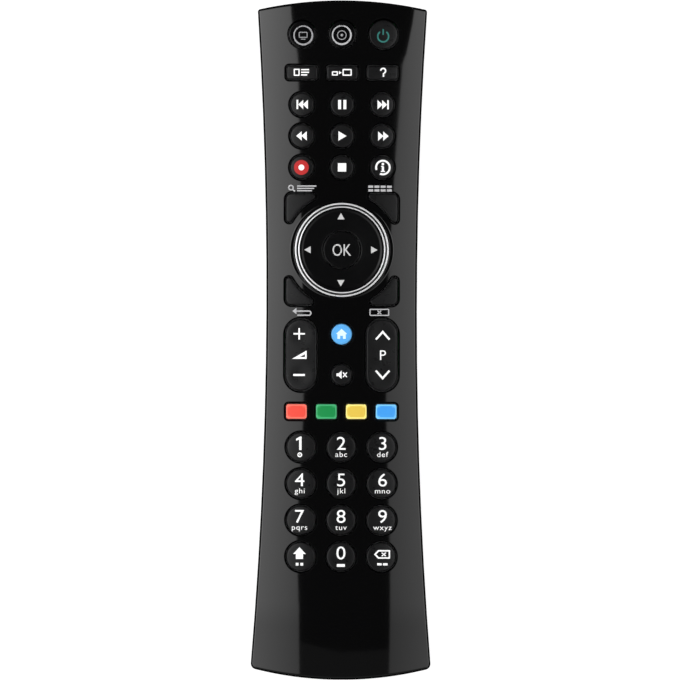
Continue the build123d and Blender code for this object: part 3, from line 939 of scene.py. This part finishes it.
def stroke(x0, y0, x1, y1, width):
    """Straight stroke as a thin box."""
    length = math.hypot(x1 - x0, y1 - y0)
    nx = -(y1 - y0) / length * width / 2
    ny = (x1 - x0) / length * width / 2
    return shape((x0 - nx, y0 - ny), (x1 - nx, y1 - ny), (x1 + nx, y1 + ny), (x0 + nx, y0 + ny))


def cross(x0, x1, reach, width):
    """Two strokes that cross between x0 and x1."""
    return [stroke(x0, -reach, x1, reach, width), stroke(x0, reach, x1, -reach, width)]


def band(cx, cy, radius, width, start=0, end=360):
    """Ring, or part of one, as a stroke of this width."""
    wide = radius + width / 2
    narrow = radius - width / 2
    if end - start >= 360:
        return [circle(cx, cy, wide, SIGN_STEPS), circle(cx, cy, narrow, SIGN_STEPS)[::-1]]
    steps = max(6, int((end - start) / 8))
    return [arc(cx, cy, wide, start, end, steps) + arc(cx, cy, narrow, end, start, steps)]


def frame_of(cx, cy, width, height, line, radius=0.3):
    """Outlined box."""
    return [
        rounded_box(cx, cy, width, height, radius, 4),
        rounded_box(cx, cy, width - 2 * line, height - 2 * line, max(0.05, radius - line), 4)[::-1],
    ]


def box_of(cx, cy, width, height):
    return shape((cx - width / 2, cy - height / 2), (cx + width / 2, cy - height / 2),
                 (cx + width / 2, cy + height / 2), (cx - width / 2, cy + height / 2))


def arrowhead(cx, cy, size, turn, across):
    """Solid triangle that points along turn degrees, size deep."""
    c = math.cos(math.radians(turn))
    s = math.sin(math.radians(turn))
    points = []
    for along, side in ((size / 2, 0), (-size / 2, across / 2), (-size / 2, -across / 2)):
        points.append((cx + along * c - side * s, cy + along * s + side * c))
    return [points]


def double_arrow(turn, bar):
    """Two arrowheads for fast winding, with a bar for skipping."""
    sign = 1 if turn == 0 else -1
    if not bar:
        return [arrowhead(x * sign, 0, 1.75, turn, 3.0) for x in (-0.8, 0.85)]
    heads = [arrowhead(x * sign, 0, 1.6, turn, 3.0) for x in (-1.0, 0.5)]
    return heads + [box_of(1.6 * sign, 0, 0.55, 3.0)]


def text_loops(text, bold, spaced):
    """Outlines of a line of text, in the font's own units."""
    letters = bpy.data.curves.new("glyphs", "FONT")
    letters.body = text
    letters.offset = bold
    letters.resolution_u = 5
    letters.fill_mode = "NONE"
    letters.space_character = spaced
    holder = added("glyphs", letters)
    bpy.context.view_layer.update()
    flat = holder.evaluated_get(bpy.context.evaluated_depsgraph_get()).to_mesh()
    beside = {}
    for edge in flat.edges:
        a, b = edge.vertices
        beside.setdefault(a, []).append(b)
        beside.setdefault(b, []).append(a)
    places = [(v.co.x, v.co.y) for v in flat.vertices]
    bpy.data.objects.remove(holder)
    loops = []
    left = set(beside)
    while left:
        start = min(left)
        loop = [start]
        here = beside[start][0]
        while here != start:
            loop.append(here)
            first, last = beside[here]
            here = last if first == loop[-2] else first
        left -= set(loop)
        loops.append(thinned([places[i] for i in loop], GLYPH_LEAST))
    return loops


def glyphs(text, size, bold=0.0, narrow=1.0, spaced=1.0):
    """Digits or letters whose capitals are this tall, centred on a capital's middle."""
    loops = text_loops(text, bold, spaced)
    xs = [x for loop in loops for x, y in loop]
    scale = size / FONT_CAPITAL
    mid_x = (max(xs) + min(xs)) / 2
    mid_y = FONT_CAPITAL / 2
    loops = [[((x - mid_x) * scale * narrow, (y - mid_y) * scale) for x, y in loop] for loop in loops]
    loops.sort(key=lambda loop: -abs(area(loop)))
    shapes = []
    for loop in loops:
        around = next((found for found in shapes if inside(found[0], *loop[0])), None)
        if around:
            around.append(loop if area(loop) < 0 else loop[::-1])
        else:
            shapes.append([loop if area(loop) > 0 else loop[::-1]])
    return shapes


# Print

def printed(name, shapes, cx, cy, height, body, ink):
    """Raises signs into a thin skin of ink on a surface."""
    form = Form()
    for sign in shapes:
        loops = [dense([(cx + x * MM, cy + y * MM) for x, y in loop], PRINT_STEP) for loop in sign]
        points, faces, order = patch(loops, PRINT_FILL)
        top = form.ring([(x, y, height(x, y) + PRINT_LIFT) for x, y in points])
        low = form.ring([(x, y, height(x, y) - PRINT_T) for x, y in points])
        for face in faces:
            form.faces.append(tuple(top[i] for i in face))
            form.faces.append(tuple(low[i] for i in reversed(face)))
        start = 0
        for loop in loops:
            around = order[start:start + len(loop)]
            form.wall([low[i] for i in around], [top[i] for i in around])
            start += len(loop)
    finished(form.done(name, PRINT_SHARP), body, inks[ink], INKS[ink][0])


def centre_of(node):
    low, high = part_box(node)
    return (low.x + high.x) / 2, (low.y + high.y) / 2


def on_key(name, shapes, dx=0.0, dy=0.0, label="sign", ink="white_ink", lift=0.0):
    """Print on a key's top, dx and dy mm from its middle."""
    x, y = centre_of(name)
    printed(name + "_" + label, shapes, x + dx * MM, y + dy * MM, lambda a, b: tops[name](a, b) + lift,
            name, ink)


def print_upper_keys():
    """Signs from the mode keys down to the info key."""
    uneven = [[circle(0, 0, 3.22, SIGN_STEPS), circle(-0.06, 0.09, 2.74, SIGN_STEPS)[::-1]]]
    screen = [frame_of(0, 0.2, 2.8, 1.9, 0.26), box_of(0, -1.2, 1.5, 0.26)]
    reel = [band(0, 0, 1.4, 0.26), disc(0, 0, 0.42, 20)]
    on_key("mode_tv_key", uneven, 0.35, -0.38, "ring", "dull_ink")
    on_key("mode_tv_key", screen, 0.3, -0.38, ink="dull_ink")
    # The recorder key's ring takes the lighter grey ink, beside the TV key's dull one, as a painted glow
    on_key("mode_recorder_key", uneven, -0.2, -0.26, "ring", "grey_ink")
    on_key("mode_recorder_key", reel, -0.2, -0.26, ink="dull_ink")
    on_key("power_key", [band(0, -0.63, 1.76, 0.5, 125, 415), box_of(0, 0.78, 0.46, 1.85)], -0.13,
           ink="teal_ink")

    page = [frame_of(-1.75, 0, 1.9, 2.3, 0.38, 0.2), box_of(0.95, 0.85, 2.6, 0.42),
            box_of(0.95, 0, 2.6, 0.42), box_of(0.65, -0.85, 2.0, 0.42)]
    on_key("text_key", page, 0, -0.2)
    pictures = [frame_of(-2.3, -0.35, 1.9, 1.4, 0.36, 0.2), arrowhead(-0.55, -0.1, 0.9, 0, 1.1),
                frame_of(1.65, 0, 3.0, 2.2, 0.4, 0.25)]
    on_key("zoom_key", pictures, -0.1, -0.2)
    query = [band(0, 0.55, 0.78, 0.5, -70, 180), box_of(0.1, -0.45, 0.5, 0.55), disc(0.1, -1.1, 0.32, 16)]
    on_key("help_key", query, 0.2, -0.2)

    on_key("skip_back_key", double_arrow(180, True), 0.1)
    on_key("pause_key", [box_of(-0.85, 0, 0.95, 3.0), box_of(0.85, 0, 0.95, 3.0)])
    on_key("skip_forward_key", double_arrow(0, True), 0.2)
    on_key("rewind_key", double_arrow(180, False), -0.1)
    on_key("play_key", [arrowhead(0.1, 0, 2.6, 0, 3.1)])
    on_key("fast_forward_key", double_arrow(0, False), 0.3)
    on_key("record_key", [disc(0, 0, 2.4, SIGN_STEPS)], -0.15, -0.05, "disc", "red_ink")
    on_key("record_key", [disc(0, 0, 0.95, 28)], -0.15, -0.05, "dot", lift=DOT_LIFT)
    on_key("stop_key", [box_of(0, 0, 2.7, 2.7)])
    info = [band(0, 0, 2.2, 0.62, -115, 200), box_of(0, -0.45, 0.72, 1.5), box_of(-0.2, 0.35, 0.8, 0.36),
            box_of(0, -1.25, 1.35, 0.36), disc(0, 1.1, 0.42, 20)]
    on_key("info_key", info, 0.2)


def print_middle_keys():
    """Signs on the home and mute keys and on both rockers."""
    house = shape((-1.75, 0.15), (0, 1.75), (1.75, 0.15), (1.35, -0.05), (1.35, -1.5), (0.45, -1.5),
                  (0.45, -0.5), (-0.45, -0.5), (-0.45, -1.5), (-1.35, -1.5), (-1.35, -0.05))
    on_key("home_key", [house], ink="pale_ink")
    speaker = shape((-1.6, 0.45), (-0.9, 0.45), (0.05, 1.35), (0.05, -1.35), (-0.9, -0.45), (-1.6, -0.45))
    on_key("mute_key", [speaker, *cross(0.5, 1.75, 0.75, 0.38)])

    plus = [stroke(-1.85, 6.8, 1.85, 6.8, 0.52), stroke(0, 4.95, 0, 8.65, 0.52)]
    wedge = [[(-2.4, -1.3), (2.35, -1.3), (2.35, 1.4)], [(0.1, -0.72), (1.78, 0.22), (1.78, -0.72)]]
    on_key("volume_rocker", plus, -0.6, 0, "plus")
    on_key("volume_rocker", [stroke(-1.9, -6.5, 1.9, -6.5, 0.66)], -0.6, 0, "minus")
    on_key("volume_rocker", [wedge], -0.5, 0, "wedge")
    for label, way in (("up", 1), ("down", -1)):
        chevron = shape((-2.45, 5.2 * way), (-1.95, 4.85 * way), (0, 7.0 * way), (1.95, 4.85 * way),
                        (2.45, 5.2 * way), (0, 8.0 * way))
        on_key("programme_rocker", [chevron], 0.2, 0, label)
    on_key("programme_rocker", glyphs("P", 3.1, 0.045), 0.3, 0.0, "text")


def print_number_keys():
    """Digits and what lies under them, and signs on the keys either side of the nought."""
    small = {2: "abc", 3: "def", 4: "ghi", 5: "jkl", 6: "mno", 7: "pqrs", 8: "tuv", 9: "wxyz"}
    for n in range(10):
        name = "digit_%d_key" % n
        x, _ = centre_of(name)
        shift = 0.4 * (x > 0.005) - 0.4 * (x < -0.005)
        if n != 1:
            on_key(name, glyphs(str(n), 4.15, 0.01, 1.1), shift, 1.25, "number")
        if n in small:
            on_key(name, glyphs(small[n], 1.65, 0.012, 1.12, 1.12), shift, -2.3, "letters")
    one = shape((-0.15, -2.15), (0.62, -2.15), (0.62, 2.2), (0.05, 2.2), (-1.15, 1.45), (-1.15, 0.85),
                (-0.15, 1.2))
    on_key("digit_1_key", [one], -0.45, 1.2, "number")
    on_key("digit_1_key", [band(0, 0, 0.6, 0.36), disc(0, 0, 0.2, 12)], -0.4, -2.5, "mark")
    on_key("digit_0_key", [box_of(0, 0, 2.6, 0.9)], 0, -2.8, "mark")
    arrow = shape((0, 2.1), (2.05, -0.1), (1.15, -0.1), (1.15, -1.7), (-1.15, -1.7), (-1.15, -0.1),
                  (-2.05, -0.1))
    on_key("shift_key", [arrow], -0.4, 0.95)
    on_key("shift_key", [box_of(-0.75, 0, 0.9, 0.9), box_of(0.75, 0, 0.9, 0.9)], -0.4, -2.45, "mark")
    tag = [[(-2.7, 0), (-1.4, 1.4), (2.5, 1.4), (2.5, -1.4), (-1.4, -1.4)],
           [(-2.0, 0), (-1.15, -0.92), (2.02, -0.92), (2.02, 0.92), (-1.15, 0.92)]]
    on_key("delete_key", [tag, *cross(-0.2, 1.1, 0.55, 0.36)], 0.4, 0.8)
    on_key("delete_key", [box_of(-0.95, 0, 1.5, 0.75), box_of(0.95, 0, 1.5, 0.75)], 0.4, -2.4, "mark")


def pad_height(x, y):
    """Height of the pad's dished top."""
    radius = math.hypot(x, y - pad_y)
    return (PAD_TOP + PAD_RISE * min(1.0, max(0.0, (radius / MM - PAD_BORE_R) / PAD_RISE_RUN))) * MM


def print_pad_and_face():
    """Arrows and letters on the pad, and the corner keys' signs on the face."""
    for label, turn, px, py in (("up", 90, -0.3, 10.9), ("down", 270, -0.3, -10.8), ("left", 180, -11.1, 0),
                                ("right", 0, 10.5, 0)):
        printed("pad_arrow_" + label, [arrowhead(px, py, 2.1, turn, 2.3)], 0, pad_y, pad_height, "nav_pad",
                "pad_ink")
    printed("ok_letters", glyphs("OK", 3.75, -0.008, 0.77), 0, pad_y, lambda x, y: OK_PRINT_Z * MM, "ok_key",
            "pad_ink")

    glass = [band(-3.6, 0.25, 0.72, 0.38), stroke(-3.05, -0.3, -2.3, -1.0, 0.44)]
    glass += [box_of(1.5 - 0.35 * i, 0.75 - 0.75 * i, 6.2 - 0.7 * i, 0.4) for i in range(3)]
    grid = [box_of(-2.9 + 2.0 * i, 0.6 - 1.2 * j, 1.6, 0.75) for i in range(4) for j in range(2)]
    way_back = [arrowhead(-2.4, 0.35, 1.4, 180, 2.0), stroke(-1.9, 0.35, 2.3, 0.35, 0.42),
                band(2.3, -0.32, 0.67, 0.42, -90, 90), stroke(2.3, -0.99, -1.4, -0.99, 0.42)]
    boxed = [frame_of(0, 0, 6.4, 2.3, 0.36, 0.4), *cross(-0.6, 0.6, 0.6, 0.36)]
    for name, shapes, x, y in (("search_label", glass, LABEL_LEFT, LABEL_HIGH),
                               ("guide_label", grid, LABEL_RIGHT, LABEL_HIGH),
                               ("back_label", way_back, LABEL_LEFT, LABEL_LOW),
                               ("close_label", boxed, LABEL_RIGHT, LABEL_LOW)):
        printed(name, shapes, x, y, face_height, "casing", "grey_ink")


# Materials

def set_inputs(node, values):
    """Sets inputs by name, an underscore standing for a space."""
    for name, value in values.items():
        node.inputs[name.replace("_", " ")].default_value = value


def new_node(tree, kind, **values):
    node = tree.nodes.new("ShaderNode" + kind)
    set_inputs(node, values)
    return node


def ranged(tree, source, start, end, first, last):
    """Value that runs from first to last while source runs from start to end."""
    ramp = new_node(tree, "MapRange", From_Min=start, From_Max=end, To_Min=first, To_Max=last)
    tree.links.new(source, ramp.inputs["Value"])
    return ramp.outputs["Result"]


def product(tree, first, second):
    node = new_node(tree, "Math")
    node.operation = "MULTIPLY"
    tree.links.new(first, node.inputs[0])
    tree.links.new(second, node.inputs[1])
    return node.outputs["Value"]


def axes(tree, space="Object"):
    """X, Y and Z of the place that is being shaded."""
    where = new_node(tree, "TexCoord")
    split = new_node(tree, "SeparateXYZ")
    tree.links.new(where.outputs[space], split.inputs["Vector"])
    return split.outputs


def mixed(tree, share, first, second):
    """Shader that goes from first to second as share goes from 0 to 1."""
    mix = new_node(tree, "MixShader")
    tree.links.new(share, mix.inputs[0])
    tree.links.new(first.outputs[0], mix.inputs[1])
    tree.links.new(second.outputs[0], mix.inputs[2])
    return mix


def surface(name, colour, rough, grain, drift=None, stretch=(1, 1, 1), **values):
    """Finish with fine bumps, given as scale, strength and depth.

    drift gives a slow change in roughness, as where a thumb has rubbed: its scale, least and most."""
    material = bpy.data.materials.new(name)
    material.use_nodes = True
    tree = material.node_tree
    shader = tree.nodes["Principled BSDF"]
    set_inputs(shader, {"Base Color": (*colour, 1), "Roughness": rough, **values})
    where = new_node(tree, "TexCoord").outputs["Object"]
    scale, strength, depth = grain
    noise = new_node(tree, "TexNoise", Scale=scale, Detail=GRAIN_DETAIL)
    bump = new_node(tree, "Bump", Strength=strength, Distance=depth)
    tree.links.new(where, noise.inputs["Vector"])
    tree.links.new(noise.outputs["Fac"], bump.inputs["Height"])
    tree.links.new(bump.outputs["Normal"], shader.inputs["Normal"])
    if drift:
        scale, least, most = drift
        mapping = new_node(tree, "Mapping", Scale=stretch)
        cloud = new_node(tree, "TexNoise", Scale=scale, Detail=DRIFT_DETAIL)
        tree.links.new(where, mapping.inputs["Vector"])
        tree.links.new(mapping.outputs["Vector"], cloud.inputs["Vector"])
        tree.links.new(ranged(tree, cloud.outputs["Fac"], DRIFT_START, DRIFT_END, least, most),
                       shader.inputs["Roughness"])
    return material


def two_colours(material, first, second, share):
    """Base colour that goes from first to second as share goes from 0 to 1."""
    tree = material.node_tree
    mix = new_node(tree, "Mix")
    mix.data_type = "RGBA"
    mix.inputs[MIX_FIRST].default_value = (*first, 1)
    mix.inputs[MIX_SECOND].default_value = (*second, 1)
    tree.links.new(share, mix.inputs[0])
    tree.links.new(mix.outputs[MIX_COLOUR], tree.nodes["Principled BSDF"].inputs["Base Color"])


def rubber(name, colour, rough, drift=0.06, rim=None):
    """Moulded rubber or soft-touch plastic; where rim is given, its rounded edge takes that colour as painted
    light on the edge.
    """
    material = surface(name, colour, rough, (5200, 0.35, 0.00003), (400, rough - drift, rough + drift),
                       IOR=1.29)
    # Mixes in the rim colour on points marked "edge": painted light, not the rubber's own colour
    if rim:
        edge = new_node(material.node_tree, "Attribute")
        edge.attribute_name = "edge"
        two_colours(material, colour, rim, edge.outputs["Fac"])
    return material


def worn_metal(name, colour, rough):
    """Rolled or plated metal with fine grain and a slow drift in its polish."""
    return surface(name, colour, rough, (2600, 0.15, 0.00001), (240, rough - 0.06, rough + 0.1), Metallic=1.0)


def moulded(name, colour, rough, size, strength):
    """Plain moulded, coated or cast piece with grain of this size."""
    return surface(name, colour, rough, (size, strength, 0.00002), (180, rough - 0.05, rough + 0.08))


def banded(name, first, second, axis, edge, rough):
    """Two colours either side of a line across the piece, as on a cell's sleeve."""
    material = surface(name, first, rough, (1800, 0.1, 0.00001), Metallic=0.6)
    tree = material.node_tree
    step = new_node(tree, "Math")
    step.operation = "GREATER_THAN"
    step.inputs[1].default_value = edge
    tree.links.new(axes(tree)[axis], step.inputs[0])
    two_colours(material, first, second, step.outputs["Value"])
    return material


# Stage

def square(half, z):
    return [(-half, -half, z), (half, -half, z), (half, half, z), (-half, half, z)]


def grey(value):
    return value, value, value, 1


def sheet_mesh(name, corners):
    """Mesh with one flat face, and the emptied node tree of its new material."""
    mesh = bpy.data.meshes.new(name)
    mesh.from_pydata(corners, [], [tuple(range(len(corners)))])
    material = bpy.data.materials.new(name)
    material.use_nodes = True
    material.node_tree.nodes.clear()
    mesh.materials.append(material)
    return mesh, material.node_tree


def emitter(name, corners, strength):
    """Flat even light of any outline, seen only in what it lights and in reflections."""
    mesh, tree = sheet_mesh(name, corners)
    glow = new_node(tree, "Emission", Strength=strength)
    out = new_node(tree, "OutputMaterial")
    tree.links.new(glow.outputs["Emission"], out.inputs["Surface"])
    piece = added(name, mesh)
    piece.visible_camera = False
    piece.visible_shadow = False
    return piece, tree, glow


def softbox(name, side, edge, strength):
    """Long soft light beside the handset, dimmer towards -Y in two steps and brighter further out.

    edge gives how far out its near side lies, along Y."""
    near = [(side * x, y, LIGHT_Z) for x, y in edge]
    far = [(side * LIGHT_FAR, edge[-1][1], LIGHT_Z), (side * LIGHT_FAR, edge[0][1], LIGHT_Z)]
    _, tree, glow = emitter(name, near + far, strength)
    place = axes(tree)
    along = ranged(tree, place["Y"], FADE_START, FADE_END, strength * FADE_SHARE, strength)
    near_dim = ranged(tree, place["Y"], NEAR_START, NEAR_END, NEAR_SHARE, 1.0)
    out = ranged(tree, place["X"], side * SIDE_START, side * SIDE_END, 1.0, SIDE_SHARE)
    tree.links.new(product(tree, product(tree, along, near_dim), out), glow.inputs["Strength"])


def make_table():
    """White paper that looks evenly lit, keeps the shadow and is dark in the handset's gloss."""
    mesh, tree = sheet_mesh("table", square(TABLE_HALF, 0))
    table = added("table", mesh)
    lit = new_node(tree, "BsdfDiffuse", Color=grey(TABLE_PAPER))
    glow = new_node(tree, "Emission", Strength=TABLE_GLOW)
    paper = new_node(tree, "AddShader")
    tree.links.new(lit.outputs[0], paper.inputs[0])
    tree.links.new(glow.outputs[0], paper.inputs[1])
    bounce = new_node(tree, "BsdfDiffuse", Color=grey(TABLE_BOUNCE))
    dark = new_node(tree, "BsdfDiffuse", Color=grey(TABLE_IN_GLOSS))
    path = new_node(tree, "LightPath")
    unseen = mixed(tree, path.outputs["Is Glossy Ray"], bounce, dark)
    upper = mixed(tree, path.outputs["Is Camera Ray"], unseen, paper)
    side = new_node(tree, "NewGeometry")
    both = mixed(tree, side.outputs["Backfacing"], upper, new_node(tree, "BsdfTransparent"))
    out = new_node(tree, "OutputMaterial")
    tree.links.new(both.outputs[0], out.inputs["Surface"])


def make_studio():
    """White surroundings for the camera, and a dim room for the rest, darker overhead and in gloss."""
    world = bpy.data.worlds.new("studio")
    bpy.context.scene.world = world
    world.use_nodes = True
    tree = world.node_tree
    tree.nodes.clear()
    shown = new_node(tree, "Background")
    room = new_node(tree, "Background")
    path = new_node(tree, "LightPath")
    by_height = ranged(tree, axes(tree, "Generated")["Z"], ROOM_LOW_Z, ROOM_HIGH_Z, ROOM_LOW, ROOM_HIGH)
    by_ray = ranged(tree, path.outputs["Is Glossy Ray"], 0.0, 1.0, 1.0, GLOSSY_ROOM)
    tree.links.new(product(tree, by_height, by_ray), room.inputs["Strength"])
    seen = mixed(tree, path.outputs["Is Camera Ray"], room, shown)
    out = new_node(tree, "OutputWorld")
    tree.links.new(seen.outputs[0], out.inputs["Surface"])


def make_lights():
    """A soft box either side, a dim card at the near end, and a light overhead that gloss doesn't show."""
    softbox("left_softbox", -1, LEFT_EDGE, LEFT_STRENGTH)
    softbox("right_softbox", 1, RIGHT_EDGE, RIGHT_STRENGTH)
    top, _, _ = emitter("top_light", square(TOP_HALF, TOP_Z), TOP_STRENGTH)
    top.visible_glossy = False
    _, tree, glow = emitter("near_card", [(x, y, LIGHT_Z) for x, y in CARD_OUTLINE], CARD_NEAR)
    tree.links.new(ranged(tree, axes(tree)["Y"], NEAR_END, NEAR_START, CARD_NEAR, CARD_FAR),
                   glow.inputs["Strength"])


def make_camera():
    """Straight above, far off with a long lens, turned a little as the picture is."""
    data = bpy.data.cameras.new("camera")
    camera = added("camera", data)
    data.sensor_width = SENSOR
    data.lens = SENSOR * (CAMERA_AWAY - PIXEL_Z) / (PHOTO_SIDE * PIXEL_MM * MM)
    data.clip_end = CAMERA_END
    camera.location = (CAMERA_X, CAMERA_Y, CAMERA_AWAY)
    camera.rotation_euler = (0, 0, CAMERA_TURN)
    bpy.context.scene.camera = camera


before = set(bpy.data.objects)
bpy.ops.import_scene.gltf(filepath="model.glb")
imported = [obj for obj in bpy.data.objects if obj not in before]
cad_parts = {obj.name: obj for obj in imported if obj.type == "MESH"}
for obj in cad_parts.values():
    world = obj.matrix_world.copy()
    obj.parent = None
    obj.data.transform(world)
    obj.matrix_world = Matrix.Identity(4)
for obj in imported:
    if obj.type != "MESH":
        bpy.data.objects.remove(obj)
cad_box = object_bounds()
pad_y = centre_of("nav_pad")[1]

gloss_black = surface("gloss_black", (0.0019, 0.0019, 0.002), 0.06, (900, 0.05, 0.000004), (55, 0.045, 0.075),
                      (1, 0.3, 1), IOR=1.5)
# Near black with little gloss for the holes' eased edges: painted shade of the gaps round the keys
painted_hole_shade = surface("painted_hole_shade", (0.0006, 0.0006, 0.0007), 0.5, (4000, 0.3, 0.00002), (300, 0.42, 0.58),
                     Specular_IOR_Level=0.08)
matt_black = surface("matt_black", (0.02, 0.02, 0.021), 0.5, (3200, 0.6, 0.00006), (60, 0.48, 0.6))
bright = surface("bright_trim", (0.86, 0.86, 0.87), 0.3, (2500, 0.08, 0.00001), (300, 0.26, 0.36),
                 Metallic=0.5)
key_black = rubber("key_rubber", (0.0058, 0.0058, 0.0061), 0.32)
mode_black = rubber("mode_rubber", (0.0018, 0.0018, 0.002), 0.2, 0.02)
pad_black = rubber("pad_black", (0.0013, 0.0013, 0.0015), 0.3, 0.008)
ok_black = rubber("ok_black", (0.0012, 0.0012, 0.0014), 0.32, 0.008)
# Rim colours are painted light on the keys' rounded edges: lighter on the colour keys as a painted highlight,
# a little darker on the home key as painted shade
home_blue = rubber("home_blue", (0.09, 0.39, 0.84), 0.4, rim=(0.1, 0.37, 0.72))
colours = {
    "red": rubber("red_rubber", (0.77, 0.066, 0.042), 0.42, rim=(0.9, 0.18, 0.13)),
    "green": rubber("green_rubber", (0.004, 0.235, 0.056), 0.42, rim=(0.06, 0.42, 0.17)),
    "yellow": rubber("yellow_rubber", (0.71, 0.5, 0.065), 0.42, rim=(1.0, 0.85, 0.25)),
    "blue": rubber("blue_rubber", (0.047, 0.32, 0.81), 0.42, rim=(0.2, 0.6, 1.0)),
}
inks = {}
for name, (_, colour, rough) in INKS.items():
    inks[name] = surface(name, colour, rough, (4000, 0.2, 0.00001), IOR=1.36)
nickel = worn_metal("nickel", (0.62, 0.6, 0.56), 0.28)
inner_looks = {
    "circuit_board": moulded("board_green", (0.012, 0.1, 0.035), 0.35, 1500, 0.2),
    "keypad_mat": moulded("mat_rubber", (0.2, 0.2, 0.205), 0.6, 3000, 0.35),
    "controller_chip": moulded("chip_epoxy", (0.012, 0.012, 0.013), 0.45, 3600, 0.4),
    "chip_resistors": moulded("chip_glaze", (0.02, 0.02, 0.022), 0.3, 3600, 0.2),
    "capacitor": moulded("capacitor_sleeve", (0.01, 0.025, 0.09), 0.35, 1500, 0.12),
    "infrared_led": moulded("clear_led", (0.018, 0.016, 0.035), 0.15, 800, 0.05),
    "nav_actuator": moulded("natural_plastic", (0.62, 0.6, 0.54), 0.45, 2600, 0.3),
    "ir_window": moulded("smoked_window", (0.004, 0.0015, 0.002), 0.12, 900, 0.05),
    "contact_plates": nickel,
    "contact_springs": nickel,
    "resonator": worn_metal("tin", (0.55, 0.55, 0.56), 0.34),
}

face_shell()
tops = make_keys()
make_pad()
make_cells()
print_upper_keys()
print_middle_keys()
print_number_keys()
print_pad_and_face()

for node, body in (("rear_cover", "casing"), ("battery_door", "battery_door")):
    piece = merged_copy(node, node + "_skin")
    finished(piece, body, matt_black, "matt_black", node)

for node, material in inner_looks.items():
    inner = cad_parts[node].data
    inner.materials.clear()
    inner.materials.append(material)

make_table()
make_studio()
make_lights()
make_camera()
bpy.context.scene.view_settings.view_transform = "Standard"
